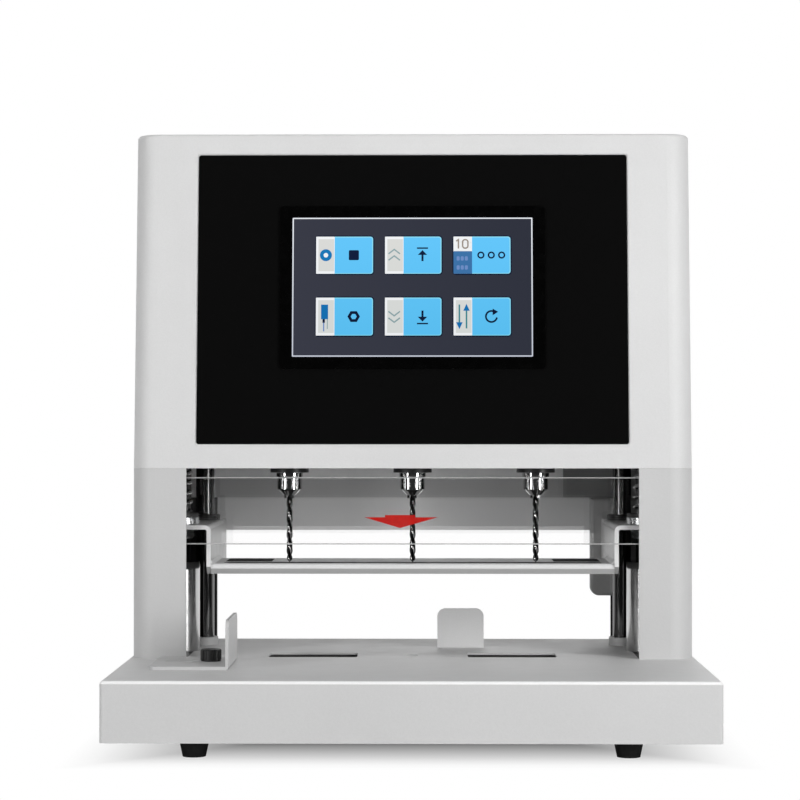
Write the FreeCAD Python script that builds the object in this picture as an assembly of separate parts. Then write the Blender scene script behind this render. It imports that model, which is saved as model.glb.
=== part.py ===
import FreeCAD, Part
import math
import os

from FreeCAD import Placement, Rotation, Vector

# Electric three-spindle drill for paper stacks and files.
# Frame: millimetres, +X to the operator's right, +Y away from the operator, +Z up.
# The origin is on the floor, midway between the sides and between the front and the back of the base.

# Base and table
base_width = 470.0
base_depth = 350.0
base_height = 47.0
base_edge_radius = 3.0
sheet = 1.5
pan_flange = 10.0
foot_height = 15.0
foot_top_radius = 12.2
foot_bottom_radius = 9.0
foot_plug_radius = 4.0
foot_plug_length = 6.0
foot_inset = 68.0
foot_y = 135.0
bed_thickness = 12.0
bed_margin = 2.5
bed_leg_radius = 15.0
bed_rib = 6.0
bed_rib_depth = 14.0

# Body over the base
body_margin = 3.0
body_front = -10.0
body_rear = 172.0
body_corner_radius = 20.0
body_rear_corner_radius = 3.0
column_width = 45.4
column_rear_width = 55.0
column_hem = 12.0
throat_height = 157.0
seam = 0.4
joint_line = 0.1
head_height = 279.0
head_lean = 26.0
head_edge_radius = 3.0
head_hem = 9.0
rear_panel_drop = 59.0
vent_count = 9
vent_length = 60.0
vent_width = 4.0
vent_pitch = 10.0

# Inner frame
post_thickness = 4.0
top_plate_height = 395.0
top_plate_thickness = 8.0
baffle_thickness = 1.5
baffle_lap = 23.0
baffle_bottom = 127.5

# Front panel and touch screen, measured on the leaning face
panel_width = 356.0
panel_height = 241.4
panel_bottom = 20.5
panel_radius = 1.5
panel_gap = 0.6
panel_lip = 5.0
panel_lip_thickness = 2.0
panel_proud = 0.3
bezel_width = 220.0
bezel_height = 136.0
bezel_radius = 3.0
bezel_thickness = 1.8
screen_width = 200.0
screen_height = 117.0
screen_centre = 150.6
screen_glass_thickness = 1.3
screen_body_margin = 4.0
screen_body_depth = 24.0

# Drill line: three spindles on one line, the outer two on adjustable slides
drill_y = 22.0
drill_pitch = 103.0
pitch_min = 50.0
pitch_max = 117.0
bit_radius = 2.5
bit_core_radius = 0.95
bit_flute_pitch = 26.0
bit_plain = 6.0
bit_point = 2.4
bit_grip = 12.0
tip_gap = 0.4
tip_overrun = 2.5
flute_steps_per_turn = 14
chuck_length = 19.0
chuck_radius = 10.2
chuck_collar_radius = 11.2
chuck_collar = 3.6
chuck_nose_radius = 5.0
chuck_cone = 5.0
chuck_teeth = 18
jaw_length = 2.6
arbor_radius = 5.0
running_clearance = 0.05

# Carriage
carriage_thickness = 10.0
carriage_inset = 18.0
carriage_front = 2.5
carriage_rear = 135.0
housing_drop = 22.0
housing_radius = 14.0
housing_cap_radius = 16.0
housing_cap = 4.0
housing_foot_width = 46.0
housing_foot_front = 3.0
housing_foot_rear = 74.0
housing_foot_thickness = 6.0
slide_clearance = 0.2
motor_radius = 19.5
motor_length = 46.0
laser_y = 62.0
laser_radius = 4.5
laser_length = 28.0

# Guide rods, lift rods in their tubes, and clamp rods
guide_rod_radius = 8.0
guide_rod_inset = 49.0
guide_rod_y = 118.0
guide_bearing_radius = 14.0
guide_bearing_length = 24.0
collar_radius = 11.6
collar_height = 7.0
lift_rod_inset = 32.5
lift_rod_y = 66.0
lift_rod_radius = 9.0
lift_rod_flange_radius = 14.0
lift_rod_flange = 5.0
lift_rod_top = 12.0
lift_rod_bottom_room = 2.7
lift_nut_across = 27.0
lift_nut_height = 9.0
tube_radius = 17.0
tube_height = 76.0
clamp_rod_inset = 39.0
clamp_rod_radius = 5.0
clamp_rod_end = 11.0
clamp_bush_radius = 9.0
clamp_bush_flange_radius = 12.0
clamp_bush_flange = 3.0
stop_collar_radius = 9.0
stop_collar_height = 6.0
rod_tail = 4.0

# Clamp
paper_opening = 69.0
clamp_flange_depth = 8.5
clamp_sheet = 2.5
clamp_front = 4.0
clamp_rear = 86.0
clamp_flange_slope = 3.5
clamp_weld = 2.5
clamp_edge_radius = 3.2
clamp_corner_cut = 6.0
bracket_sheet = 3.5
bracket_inner_inset = 64.5
bracket_rise = 31.8
bracket_rear = 134.0
bracket_leg_rear = 155.0
bracket_leg_radius = 7.0
bracket_outer_inset = 20.0
bracket_bend_radius = 5.0
bracket_corner_radius = 8.0
bracket_tube_gap = 1.5
rod_nut_radius = 14.0
rod_nut_height = 6.5
rod_washer_radius = 13.5
rod_washer_height = 3.0
lock_nut_across = 17.0
lock_nut_height = 8.0
spring_height = 56.2
spring_outer_radius = 8.7
spring_wire_radius = 1.4
spring_turns = 6.5
spring_end_gap = 0.1
guide_bush_radius = 10.0
guide_bush_flange_radius = 13.0
guide_bush_flange = 5.0
drill_strip_margin = 9.5
drill_strip_width = 18.0
drill_strip_lap = 2.0
drill_strip_base = 2.0
drill_hole_width = 7.0
pad_length = 39.0
pad_front = 36.5
pad_rear = 80.0
pad_radius = 4.0
pad_lap = 2.0
landing_gap = 0.3

# Table slots under the drills
slot_inner_x = 46.0
slot_outer_x = 120.0
slot_front = 6.0
slot_rear = 42.0
slot_corner = 3.0
centre_hole_radius = 5.0
cutting_strip_lap = 3.0
cutting_strip_thickness = 6.0
cutting_strip_drop = 1.6

# Lift drive
screw_y = 96.0
screw_radius = 6.0
screw_top = 300.0
screw_bottom = 171.0
nut_radius = 11.0
nut_flange_radius = 17.0
nut_flange = 5.0
nut_length = 20.0
bridge_half_width = 25.0
bridge_foot = 13.0
bridge_depth = 36.0
bridge_sheet = 5.0
bridge_height = 80.0
coupling_radius = 10.0
coupling_length = 22.0
lift_plate_size = 72.0
lift_plate_thickness = 6.0
lift_motor_radius = 24.0
lift_motor_shaft_radius = 4.0
lift_standoff_radius = 4.0
bearing_radius = 15.0
bearing_height = 7.0

# Guard strip of clear sheet
shield_thickness = 3.0
shield_bottom = 94.0
shield_top = 149.6
shield_inset = 35.0

# Stops
stop_sheet = 2.5
stop_leg_length = 63.0
stop_left_inset = 25.0
stop_front = -98.0
stop_leg_rear = -18.0
stop_rear = -12.0
stop_height = 39.0
stop_corner_radius = 9.0
stop_bend_radius = 2.4
stop_leg_corner_radius = 6.0
stop_clearance = 0.1
knob_inset = 18.0
knob_y = -52.0
knob_radius = 8.5
knob_height = 8.5
knob_lobes = 6
knob_lobe_radius = 2.2
knob_stud_radius = 3.0
knob_washer_radius = 8.0
knob_washer = 1.0
stop_slot_width = 6.6
stop_travel_left = 2.0
stop_travel_right = 34.0
fence_left_x = 21.0
fence_right_x = 61.0
fence_gap = 2.0
fence_height = 34.0
fence_corner_radius = 7.0
fence_foot_depth = 38.0
fence_screw_inset = 10.0
fence_travel = 20.0
fence_slot_width = 5.0

# Power inlet, its inner cover, and the electronics
terminal_left_inset = 74.0
terminal_right_inset = 14.0
terminal_front = 140.0
terminal_step_inset = 56.0
terminal_step_front = 157.0
terminal_bottom = 40.0
terminal_wall = 2.0
terminal_edge_radius = 6.0
terminal_corner_radius = 8.0
terminal_step_radius = 3.0
inlet_inset = 33.0
inlet_height = 83.0
inlet_cut_width = 27.6
inlet_cut_height = 47.6
inlet_flange_width = 30.0
inlet_flange_height = 58.0
inlet_flange = 2.0
inlet_depth = 22.0
inlet_fit = 0.15
socket_width = 23.0
socket_height = 16.0
socket_depth = 15.0
socket_drop = 13.0
socket_corner = 4.0
pin_width = 2.0
pin_height = 4.0
pin_spacing = 7.0
rocker_rise = 11.0
rocker_width = 13.0
rocker_length = 19.0
rocker_depth = 9.0
rocker_dish = 1.6
rocker_sink = 0.8
rocker_tilt = 8.0
rocker_gap = 0.6
rocker_pin_radius = 1.2
supply_left_x = -165.0
supply_width = 99.0
supply_height = 159.0
supply_depth = 38.0
supply_vent_count = 7
supply_vent_pitch = 18.0
supply_vent_height = 6.0
supply_vent_start = 24.0
supply_vent_margin = 14.0
supply_vent_depth = 1.2
electronics_bottom = 215.0
board_left_x = 62.0
board_width = 100.0
board_height = 130.0
board_thickness = 1.6
board_standoff = 8.0
board_stand_radius = 3.0
board_stand_inset = 6.0
relay_inset = 12.0
relay_pitch = 24.0
relay_width = 18.0
relay_height = 24.0
relay_depth = 15.0
chip_left = 34.0
chip_low = 62.0
chip_size = 28.0
chip_depth = 3.0
terminal_strip_inset = 10.0
terminal_strip_drop = 16.0
terminal_strip_height = 12.0
terminal_strip_depth = 10.0
can_radius = 6.0
can_height = 20.0
can_across = 80.0
can_low = 56.0
can_pitch = 20.0

# Cover screws
screw_head_radius = 3.6
screw_head_height = 2.2
screw_shank_radius = 2.0
screw_shank = 5.0
screw_head_taper = 1.0
shield_screw_inset = 10.0
column_screw_low = 20.0
column_screw_drop = 12.0
rear_screw_low = 18.0
rear_screw_middle = 128.0
rear_screw_drop = 10.0

# Places that follow from the sizes above
table_z = foot_height + base_height
bed_top = table_z - sheet
bed_bottom = bed_top - bed_thickness
pan_top = foot_height + sheet
body_half = base_width / 2 - body_margin
body_inner = body_half - sheet
column_inner_x = body_half - column_width
column_rear_inner_x = body_half - column_rear_width
foot_x = base_width / 2 - foot_inset
carriage_half_width = body_half - carriage_inset
guide_rod_x = body_half - guide_rod_inset
lift_rod_x = body_half - lift_rod_inset
clamp_rod_x = body_half - clamp_rod_inset
bracket_inner_x = body_half - bracket_inner_inset
bracket_outer_x = body_half - bracket_outer_inset
drill_strip_half_length = bracket_inner_x - drill_strip_margin
pad_outer_x = drill_strip_half_length
pad_inner_x = pad_outer_x - pad_length
shield_half_width = body_half - shield_inset
stop_left_x = stop_left_inset - body_half
stop_face_x = stop_left_x + stop_leg_length
knob_x = stop_face_x - knob_inset
terminal_left_x = body_half - terminal_left_inset
terminal_right_x = body_half - terminal_right_inset
inlet_x = body_half - inlet_inset
head_z = table_z + throat_height
top_z = head_z + head_height
post_top = table_z + top_plate_height
rear_wall_inner = body_rear - sheet
post_front = body_front + head_lean + body_corner_radius
post_flange_front = rear_wall_inner - post_thickness
top_plate_front = post_front + 2
baffle_front = post_flange_front - baffle_thickness
lean_angle = math.degrees(math.atan2(head_height, head_lean))
face_length = math.hypot(head_height, head_lean)
clamp_bottom = table_z + paper_opening
clamp_top = clamp_bottom + clamp_flange_depth
fence_front = clamp_rear + fence_gap
fence_foot_rear = fence_front + fence_foot_depth
fence_screw_y = fence_foot_rear - fence_screw_inset
bracket_top = clamp_top + bracket_rise
nut_top = bracket_top + rod_nut_height
spring_bottom = nut_top + rod_washer_height
carriage_z = spring_bottom + spring_height
carriage_top = carriage_z + carriage_thickness
chuck_top = carriage_z - housing_drop
chuck_nose = chuck_top - chuck_length
tip_z = clamp_top + tip_gap
motor_z = carriage_top + housing_foot_thickness
tube_bore = lift_rod_radius + running_clearance
travel = tip_z - table_z + tip_overrun
terminal_top = baffle_bottom - landing_gap


def box(x0, x1, y0, y1, z0, z1):
    return Part.makeBox(x1 - x0, y1 - y0, z1 - z0, Vector(x0, y0, z0))


def rod(radius, z0, z1, x=0.0, y=0.0):
    return Part.makeCylinder(radius, z1 - z0, Vector(x, y, z0))


def rod_y(radius, y0, y1, x, z):
    return Part.makeCylinder(radius, y1 - y0, Vector(x, y0, z), Vector(0, 1, 0))


def slot_x(x0, x1, y, width, z0, z1):
    """A round-ended bar along X, used as a cutter or as a strip."""
    r = width / 2
    bar = box(x0 + r, x1 - r, y - r, y + r, z0, z1)
    return bar.fuse([rod(r, z0, z1, x0 + r, y), rod(r, z0, z1, x1 - r, y)]).removeSplitter()


def slot_y(x, y0, y1, width, z0, z1):
    r = width / 2
    bar = box(x - r, x + r, y0 + r, y1 - r, z0, z1)
    return bar.fuse([rod(r, z0, z1, x, y0 + r), rod(r, z0, z1, x, y1 - r)]).removeSplitter()


def rounded(shape, radius, picks):
    """Fillets the edges for which picks(edge) is true."""
    edges = [e for e in shape.Edges if picks(e)]
    return shape.makeFillet(radius, edges) if edges and radius > 0 else shape


def along(edge, direction):
    """True for a straight edge parallel to direction."""
    if not isinstance(edge.Curve, (Part.Line, Part.LineSegment)):
        return False
    return abs(abs(edge.tangentAt(edge.FirstParameter).dot(direction)) - 1) < 1e-6


def vertical(edge):
    return along(edge, Vector(0, 0, 1))


def rounded_box(x0, x1, y0, y1, z0, z1, radius):
    return rounded(box(x0, x1, y0, y1, z0, z1), radius, vertical)


def mirrored(shape):
    return shape.mirror(Vector(0, 0, 0), Vector(1, 0, 0))


def both(shape):
    """The shape and its mirror image, as separate solids of one node."""
    return Part.makeCompound([shape, mirrored(shape)])


def on_face(shape):
    """Moves a shape from the leaning face's own frame (X, up the face, outwards) to the machine's frame."""
    out = shape.copy()
    out.Placement = Placement(
        Vector(0, body_front, head_z), Rotation(Vector(1, 0, 0), lean_angle)
    ).multiply(out.Placement)
    return out


def face_plate(width, height, centre, radius, low, high):
    """A rounded plate on the leaning face, centred at a distance up the face."""
    half = height / 2
    return rounded_box(-width / 2, width / 2, centre - half, centre + half, low, high, radius)


def skin(rings):
    """A solid whose skin joins rings of equal point counts with flat triangles, closed by flat fans."""
    count = len(rings[0])
    faces = []

    def triangle(a, b, c):
        faces.append(Part.Face(Part.makePolygon([a, b, c, a])))

    for low, high in zip(rings, rings[1:]):
        for i in range(count):
            j = (i + 1) % count
            triangle(low[i], low[j], high[j])
            triangle(low[i], high[j], high[i])
    for ring in (rings[0], rings[-1]):
        middle = sum(ring, Vector(0, 0, 0)) * (1 / count)
        for i in range(count):
            triangle(ring[i], ring[(i + 1) % count], middle)
    solid = Part.Solid(Part.Shell(faces))
    if solid.Volume < 0:
        solid.reverse()
    return solid


def save(name, shape):
    os.makedirs("parts", exist_ok=True)
    shape.exportStep("parts/" + name + ".step")


# Base


def base_block(inset):
    half_x = base_width / 2 - inset
    half_y = base_depth / 2 - inset
    radius = base_edge_radius - inset
    block = box(-half_x, half_x, -half_y, half_y, foot_height, table_z - inset)
    block = rounded(block, radius, vertical)
    return rounded(block, radius, lambda e: e.BoundBox.ZMin > table_z - inset - 0.01)


def column_well():
    """The hole in the table under a column, through which the post, the tube and the rod stand on the bed."""
    low, high = bed_top - 1, table_z + 1
    well = box(column_inner_x, body_inner, body_front + sheet, rear_wall_inner, low, high)
    outer = lambda e: vertical(e) and e.BoundBox.XMin > column_inner_x + 1
    front = lambda e: outer(e) and e.BoundBox.YMax < body_front + sheet + 1
    well = rounded(well, body_corner_radius - sheet, front)
    post_room = box(
        column_rear_inner_x - seam, body_inner, post_flange_front - seam, rear_wall_inner, low, high
    )
    tube_room = rod(tube_radius + seam, low, high, lift_rod_x, lift_rod_y)
    rod_room = rod(collar_radius + seam, low, high, guide_rod_x, guide_rod_y)
    return well.fuse([post_room, tube_room, rod_room])


def drill_slots(width, inner, outer, z0, z1):
    """Cutters for the two pitch slots and the centre hole on the drill line."""
    right = slot_x(inner, outer, drill_y, width, z0, z1)
    return [right, mirrored(right), rod(width / 2, z0, z1, 0, drill_y)]


def table_windows(lap, z0, z1):
    """Cutters for the two windows over the cutting strips and the centre hole."""
    right = rounded_box(
        slot_inner_x - lap, slot_outer_x + lap, slot_front - lap, slot_rear + lap, z0, z1, slot_corner + lap
    )
    return [right, mirrored(right), rod(centre_hole_radius + lap, z0, z1, 0, drill_y)]


def base_cover():
    inside = base_block(sheet)
    cutters = [column_well(), mirrored(column_well())]
    cutters += table_windows(0, bed_top - 1, table_z + 1)
    cutters.append(rod(knob_stud_radius + running_clearance, bed_top - 1, table_z + 1, knob_x, knob_y))
    cutters.append(rod(screw_shank_radius, bed_top - 1, table_z + 1, fence_x(), fence_screw_y))
    return base_block(0).cut(inside).cut(cutters)


def base_pan():
    gap = sheet + running_clearance
    half_x = base_width / 2 - gap
    half_y = base_depth / 2 - gap
    radius = base_edge_radius
    tray = rounded_box(-half_x, half_x, -half_y, half_y, foot_height, pan_top + pan_flange, radius)
    hollow = rounded_box(
        sheet - half_x, half_x - sheet, sheet - half_y, half_y - sheet, pan_top, pan_top + pan_flange, radius - sheet
    )
    holes = [rod(foot_plug_radius, foot_height, pan_top, x, y) for x, y in foot_places()]
    return tray.cut([hollow] + holes)


def foot_places():
    return [(x, y) for x in (-foot_x, foot_x) for y in (-foot_y, foot_y)]


def feet():
    solids = []
    for x, y in foot_places():
        at = Vector(x, y, 0)
        cone = Part.makeCone(foot_bottom_radius, foot_top_radius, foot_height, at)
        solids.append(cone.fuse(rod(foot_plug_radius, foot_height, pan_top + foot_plug_length, x, y)))
    return Part.makeCompound(solids)


def bed_casting():
    """The cast bed under the table: a plate on four legs, with ribs and machined seats."""
    half_x = base_width / 2 - sheet - bed_margin
    half_y = base_depth / 2 - sheet - bed_margin
    plate = box(-half_x, half_x, -half_y, half_y, bed_bottom, bed_top)
    legs = [rod(bed_leg_radius, pan_top, bed_bottom, x, y) for x, y in foot_places()]
    rib_z = bed_bottom - bed_rib_depth
    ribs = []
    for y in (-foot_y, foot_y):
        ribs.append(box(-half_x, half_x, y - bed_rib / 2, y + bed_rib / 2, rib_z, bed_bottom))
    for x in (-foot_x, foot_x):
        ribs.append(box(x - bed_rib / 2, x + bed_rib / 2, -half_y, half_y, rib_z, bed_bottom))
    bed = plate.fuse(legs + ribs)
    cutters = []
    for side in (-1, 1):
        cutters.append(rod(tube_radius, rib_z, bed_top, side * lift_rod_x, lift_rod_y))
        cutters.append(rod(guide_rod_radius, bed_bottom, bed_top, side * guide_rod_x, guide_rod_y))
    pocket_floor = bed_top - cutting_strip_drop - cutting_strip_thickness
    lap = cutting_strip_lap
    cutters += table_windows(lap, pocket_floor, bed_top)
    cutters.append(rod(knob_stud_radius + running_clearance, bed_bottom, bed_top, knob_x, knob_y))
    cutters.append(rod(screw_shank_radius, bed_bottom, bed_top, fence_x(), fence_screw_y))
    for x, y in foot_places():
        cutters.append(rod(foot_plug_radius, pan_top, pan_top + foot_plug_length, x, y))
    return bed.cut(cutters).removeSplitter()


def cutting_strips():
    top = bed_top - cutting_strip_drop
    lap = cutting_strip_lap
    strips = table_windows(lap, top - cutting_strip_thickness, top)
    return Part.makeCompound(strips)


# Columns, head and rear covers


def column_shell(inset, open_x):
    """A column's outer block, or its hollow when inset by the sheet and opened towards the throat."""
    shell = box(
        open_x, body_half - inset, body_front + inset, body_rear - inset, table_z, head_z - joint_line
    )
    outer = lambda e: vertical(e) and e.BoundBox.XMin > open_x + 1
    front = lambda e: outer(e) and e.BoundBox.YMax < body_front + inset + 1
    rear = lambda e: outer(e) and e.BoundBox.YMin > body_rear - inset - 1
    shell = rounded(shell, body_corner_radius - inset, front)
    return rounded(shell, body_rear_corner_radius - inset, rear)


def column(with_inlet):
    outer = column_shell(0, column_inner_x)
    hollow = column_shell(sheet, column_inner_x - 1)
    walls = outer.cut(hollow)
    rear = box(column_rear_inner_x, column_inner_x, rear_wall_inner, body_rear, table_z, head_z - joint_line)
    hem_front = body_front + sheet
    hem = box(
        column_inner_x, column_inner_x + column_hem, hem_front, hem_front + sheet, table_z, head_z - joint_line
    )
    column = walls.fuse([rear, hem])
    cutters = [screw_hole(p) for p in shield_screws() + column_screws()]
    if with_inlet:
        cutters.append(inlet_cut(rear_wall_inner - 1, body_rear + 1))
    return column.cut(cutters).removeSplitter()


def hood_block(inset):
    """The head's outer block, or its hollow when inset; the hollow runs out below and behind."""
    reach = 20.0 if inset else 0.0
    outwards = inset / math.sin(math.radians(lean_angle))
    slope = head_lean / head_height
    low = head_z - reach
    high = top_z - inset
    front_low = body_front + outwards - slope * reach
    front_high = body_front + outwards + slope * (head_height - inset)
    rear = body_rear + reach
    half = body_half - inset
    points = [(front_low, low), (front_high, high), (rear, high), (rear, low)]
    corners = [Vector(-half, y, z) for y, z in points]
    block = Part.Face(Part.makePolygon(corners + corners[:1])).extrude(Vector(2 * half, 0, 0))
    rise = Vector(0, head_lean, head_height).normalize()
    block = rounded(block, body_corner_radius - inset, lambda e: along(e, rise))
    front = lambda e: e.BoundBox.ZMin > high - 0.01 and e.BoundBox.YMin < rear - 1
    return rounded(block, head_edge_radius - inset, front)


def head_cover():
    """The hood: front, sides and top in one folded sheet, with a hem under the front."""
    hood = hood_block(0).cut(hood_block(sheet))
    half = body_half - body_corner_radius
    slope = head_lean / head_height
    hem = box(-half, half, body_front + sheet / 2, body_front + head_hem, head_z, head_z + sheet)
    hem = hem.common(hood_block(0))
    gap = 2 * panel_gap
    centre = panel_bottom + panel_height / 2
    window = face_plate(
        panel_width + gap, panel_height + gap, centre, panel_radius + panel_gap, -sheet - 1, 1
    )
    rim = face_plate(
        panel_width + gap + sheet, panel_height + gap + sheet, centre, panel_radius + panel_gap, -sheet / 2, 1
    )
    return hood.fuse(hem).cut([on_face(window), on_face(rim)]).removeSplitter()


def rear_cover():
    """The flat rear panel, full width behind the head and narrower between the columns."""
    half = body_inner - running_clearance
    low_half = column_rear_inner_x - running_clearance
    drop = head_z - rear_panel_drop
    top = top_z - sheet - running_clearance
    wide = box(-half, half, rear_wall_inner, body_rear, head_z, top)
    narrow = box(-low_half, low_half, rear_wall_inner, body_rear, drop, head_z)
    outer = lambda e: along(e, Vector(0, 1, 0)) and abs(e.BoundBox.ZMin - head_z) > 0.1
    cover = rounded(wide.fuse(narrow).removeSplitter(), 2.0, outer)
    cutters = [screw_hole(p) for p in rear_screws()]
    for side in (-1, 1):
        for i in range(vent_count):
            z = electronics_bottom + table_z + 30 + i * vent_pitch
            x = side * (supply_width + vent_length) / 2
            cutters.append(vent(x, z))
    return cover.cut(cutters)


def vent(x, z):
    r = vent_width / 2
    half = vent_length / 2 - r
    y0 = rear_wall_inner - 1
    y1 = body_rear + 1
    bar = box(x - half, x + half, y0, y1, z - r, z + r)
    return bar.fuse([rod_y(r, y0, y1, x - half, z), rod_y(r, y0, y1, x + half, z)])


def post(with_inlet):
    """A column's inner post: an angle with its web on the outer wall and its flange on the rear wall."""
    web = box(
        body_inner - post_thickness, body_inner, post_front, rear_wall_inner, bed_top, post_top
    )
    flange = box(
        column_rear_inner_x, body_inner, post_flange_front, rear_wall_inner, bed_top, post_top
    )
    angle = web.fuse(flange).removeSplitter()
    heel = lambda e: vertical(e) and e.BoundBox.XMin > body_inner - 0.1 and e.BoundBox.YMin > rear_wall_inner - 0.1
    angle = rounded(angle, body_rear_corner_radius, heel)
    angle = angle.cut([screw_hole(p) for p in column_screws() + rear_screws()])
    if with_inlet:
        angle = angle.cut(inlet_cut(post_flange_front - 1, rear_wall_inner + 1))
    return angle.removeSplitter()


def top_plate():
    half = body_inner - running_clearance
    plate = box(
        -half, half, top_plate_front, rear_wall_inner - 1, post_top, post_top + top_plate_thickness
    )
    holes = [
        rod(guide_rod_radius, post_top, post_top + top_plate_thickness, side * guide_rod_x, guide_rod_y)
        for side in (-1, 1)
    ]
    return plate.cut(holes)


def inner_baffle():
    half = column_rear_inner_x + baffle_lap
    return box(
        -half, half, baffle_front, post_flange_front, table_z + baffle_bottom, post_top
    )


# Front panel and screen


def front_panel():
    centre = panel_bottom + panel_height / 2
    front = face_plate(panel_width, panel_height, centre, panel_radius, -sheet, panel_proud)
    lip = face_plate(
        panel_width + 2 * panel_lip, panel_height + 2 * panel_lip, centre, panel_radius,
        -sheet - panel_lip_thickness, -sheet
    )
    window = face_plate(
        screen_width + screen_body_margin, screen_height + screen_body_margin, screen_centre,
        1.0, -sheet - panel_lip_thickness - 1, panel_proud + 1
    )
    return on_face(front.fuse(lip).cut(window).removeSplitter())


def screen_bezel():
    """The screen module: a thin front frame and the housing that passes through the panel."""
    frame = face_plate(
        bezel_width, bezel_height, screen_centre, bezel_radius, panel_proud, panel_proud + bezel_thickness
    )
    body = face_plate(
        screen_width + screen_body_margin, screen_height + screen_body_margin, screen_centre,
        1.0, panel_proud - screen_body_depth, panel_proud
    )
    recess = face_plate(
        screen_width, screen_height, screen_centre, 1.0,
        panel_proud + bezel_thickness - screen_glass_thickness, panel_proud + bezel_thickness + 1
    )
    return on_face(frame.fuse(body).cut(recess).removeSplitter())


def screen_glass():
    top = panel_proud + bezel_thickness
    return on_face(
        face_plate(screen_width, screen_height, screen_centre, 1.0, top - screen_glass_thickness, top)
    )


# Spindles


def bit_outline(z, turn, scale):
    """One cross-section of the twist bit: two lands and two flutes, turned about the axis."""
    half_land = math.radians(38)
    flute = math.pi / 2
    profile = [
        (-half_land, bit_radius), (0, bit_radius), (half_land, bit_radius),
        (flute - 0.35, bit_radius / 2), (flute + 0.15, bit_core_radius)
    ]
    points = []
    for start in (0, math.pi):
        for angle, radius in profile:
            a = start + angle + turn
            points.append(Vector(scale * radius * math.cos(a), scale * radius * math.sin(a), z))
    return points


def drill_bit(x):
    """A twist bit: a round shank in the chuck, two helical flutes and a point."""
    flute_top = chuck_nose - bit_plain
    cone_top = tip_z + bit_point
    length = flute_top - cone_top
    steps = max(2, round(length / bit_flute_pitch * flute_steps_per_turn))
    rings = [bit_outline(tip_z, 0, 0.08)]
    for i in range(steps + 1):
        z = cone_top + length * i / steps
        turn = -2 * math.pi * (z - tip_z) / bit_flute_pitch
        rings.append(bit_outline(z, turn, 1))
    fluted = skin(rings)
    fluted.translate(Vector(x, drill_y, 0))
    shank = rod(bit_radius, flute_top, chuck_nose + bit_grip, x, drill_y)
    return shank.fuse(fluted)


def chuck(x):
    """A keyed chuck on its arbor: collar, toothed sleeve with key holes, cone and three jaws."""
    r, cone_z = chuck_radius, chuck_nose + chuck_cone
    collar_z = chuck_top - chuck_collar
    arbor_top = motor_z - 1
    outline = [
        Vector(0, 0, chuck_nose), Vector(chuck_nose_radius, 0, chuck_nose), Vector(r, 0, cone_z),
        Vector(r, 0, collar_z - 0.8), Vector(r - 0.8, 0, collar_z), Vector(chuck_collar_radius, 0, collar_z),
        Vector(chuck_collar_radius, 0, chuck_top - 0.4), Vector(arbor_radius + 1, 0, chuck_top - 0.4),
        Vector(arbor_radius, 0, chuck_top), Vector(arbor_radius, 0, arbor_top), Vector(0, 0, arbor_top)
    ]
    face = Part.Face(Part.makePolygon(outline + outline[:1]))
    body = face.revolve(Vector(0, 0, 0), Vector(0, 0, 1), 360)
    cutters = [rod(bit_radius, chuck_nose - 1, chuck_nose + bit_grip)]
    tooth = 360 / chuck_teeth
    for i in range(chuck_teeth):
        notch = box(r - 1.6, r + 1, -0.55, 0.55, cone_z - 1.4, cone_z + 1.6)
        notch.rotate(Vector(0, 0, 0), Vector(0, 0, 1), i * tooth)
        cutters.append(notch)
    for i in range(3):
        hole = Part.makeCylinder(1.7, r, Vector(r - 3.2, 0, (cone_z + collar_z) / 2 + 1), Vector(1, 0, 0))
        hole.rotate(Vector(0, 0, 0), Vector(0, 0, 1), 30 + 120 * i)
        cutters.append(hole)
    jaws = []
    for i in range(3):
        jaw = box(bit_radius, bit_radius + 2.0, -1.3, 1.3, chuck_nose - jaw_length, chuck_nose + 1)
        jaw.rotate(Vector(0, 0, 0), Vector(0, 0, 1), 60 + 120 * i)
        jaws.append(jaw)
    body = body.fuse(jaws).cut(cutters)
    body.translate(Vector(x, drill_y, 0))
    return body.removeSplitter()


def spindle_housing(x, with_laser):
    """A spindle's bearing housing: a neck through the carriage, a foot on top of it and a cap below."""
    foot = rounded_box(
        x - housing_foot_width / 2, x + housing_foot_width / 2, housing_foot_front, housing_foot_rear,
        carriage_top, motor_z, 4.0
    )
    neck = rod(housing_radius, chuck_top, carriage_top, x, drill_y)
    cap = rod(housing_cap_radius, chuck_top, chuck_top + housing_cap, x, drill_y)
    bore = rod(arbor_radius + running_clearance, chuck_top - 1, motor_z + 1, x, drill_y)
    cutters = [bore]
    if with_laser:
        cutters.append(rod(laser_radius, carriage_top - 1, motor_z + 1, x, laser_y))
    return foot.fuse([neck, cap]).cut(cutters).removeSplitter()


def spindle_motor(x):
    can = rod(motor_radius, motor_z, motor_z + motor_length, x, drill_y)
    can = rounded(can, 1.5, lambda e: e.BoundBox.ZMin > motor_z + motor_length - 1)
    top = motor_z + motor_length
    boss = rod(motor_radius / 3, top, top + 3, x, drill_y)
    tabs = [box(x + s - 0.4, x + s + 0.4, drill_y - 3, drill_y + 3, top, top + 6) for s in (-14, 14)]
    return can.fuse([boss] + tabs).removeSplitter()


def laser(x):
    low = carriage_z + 1
    barrel = rod(laser_radius, low, low + laser_length, x, laser_y)
    lens = rod(laser_radius / 2, low - 1, low + 2, x, laser_y)
    return barrel.cut(lens)


# Carriage


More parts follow.
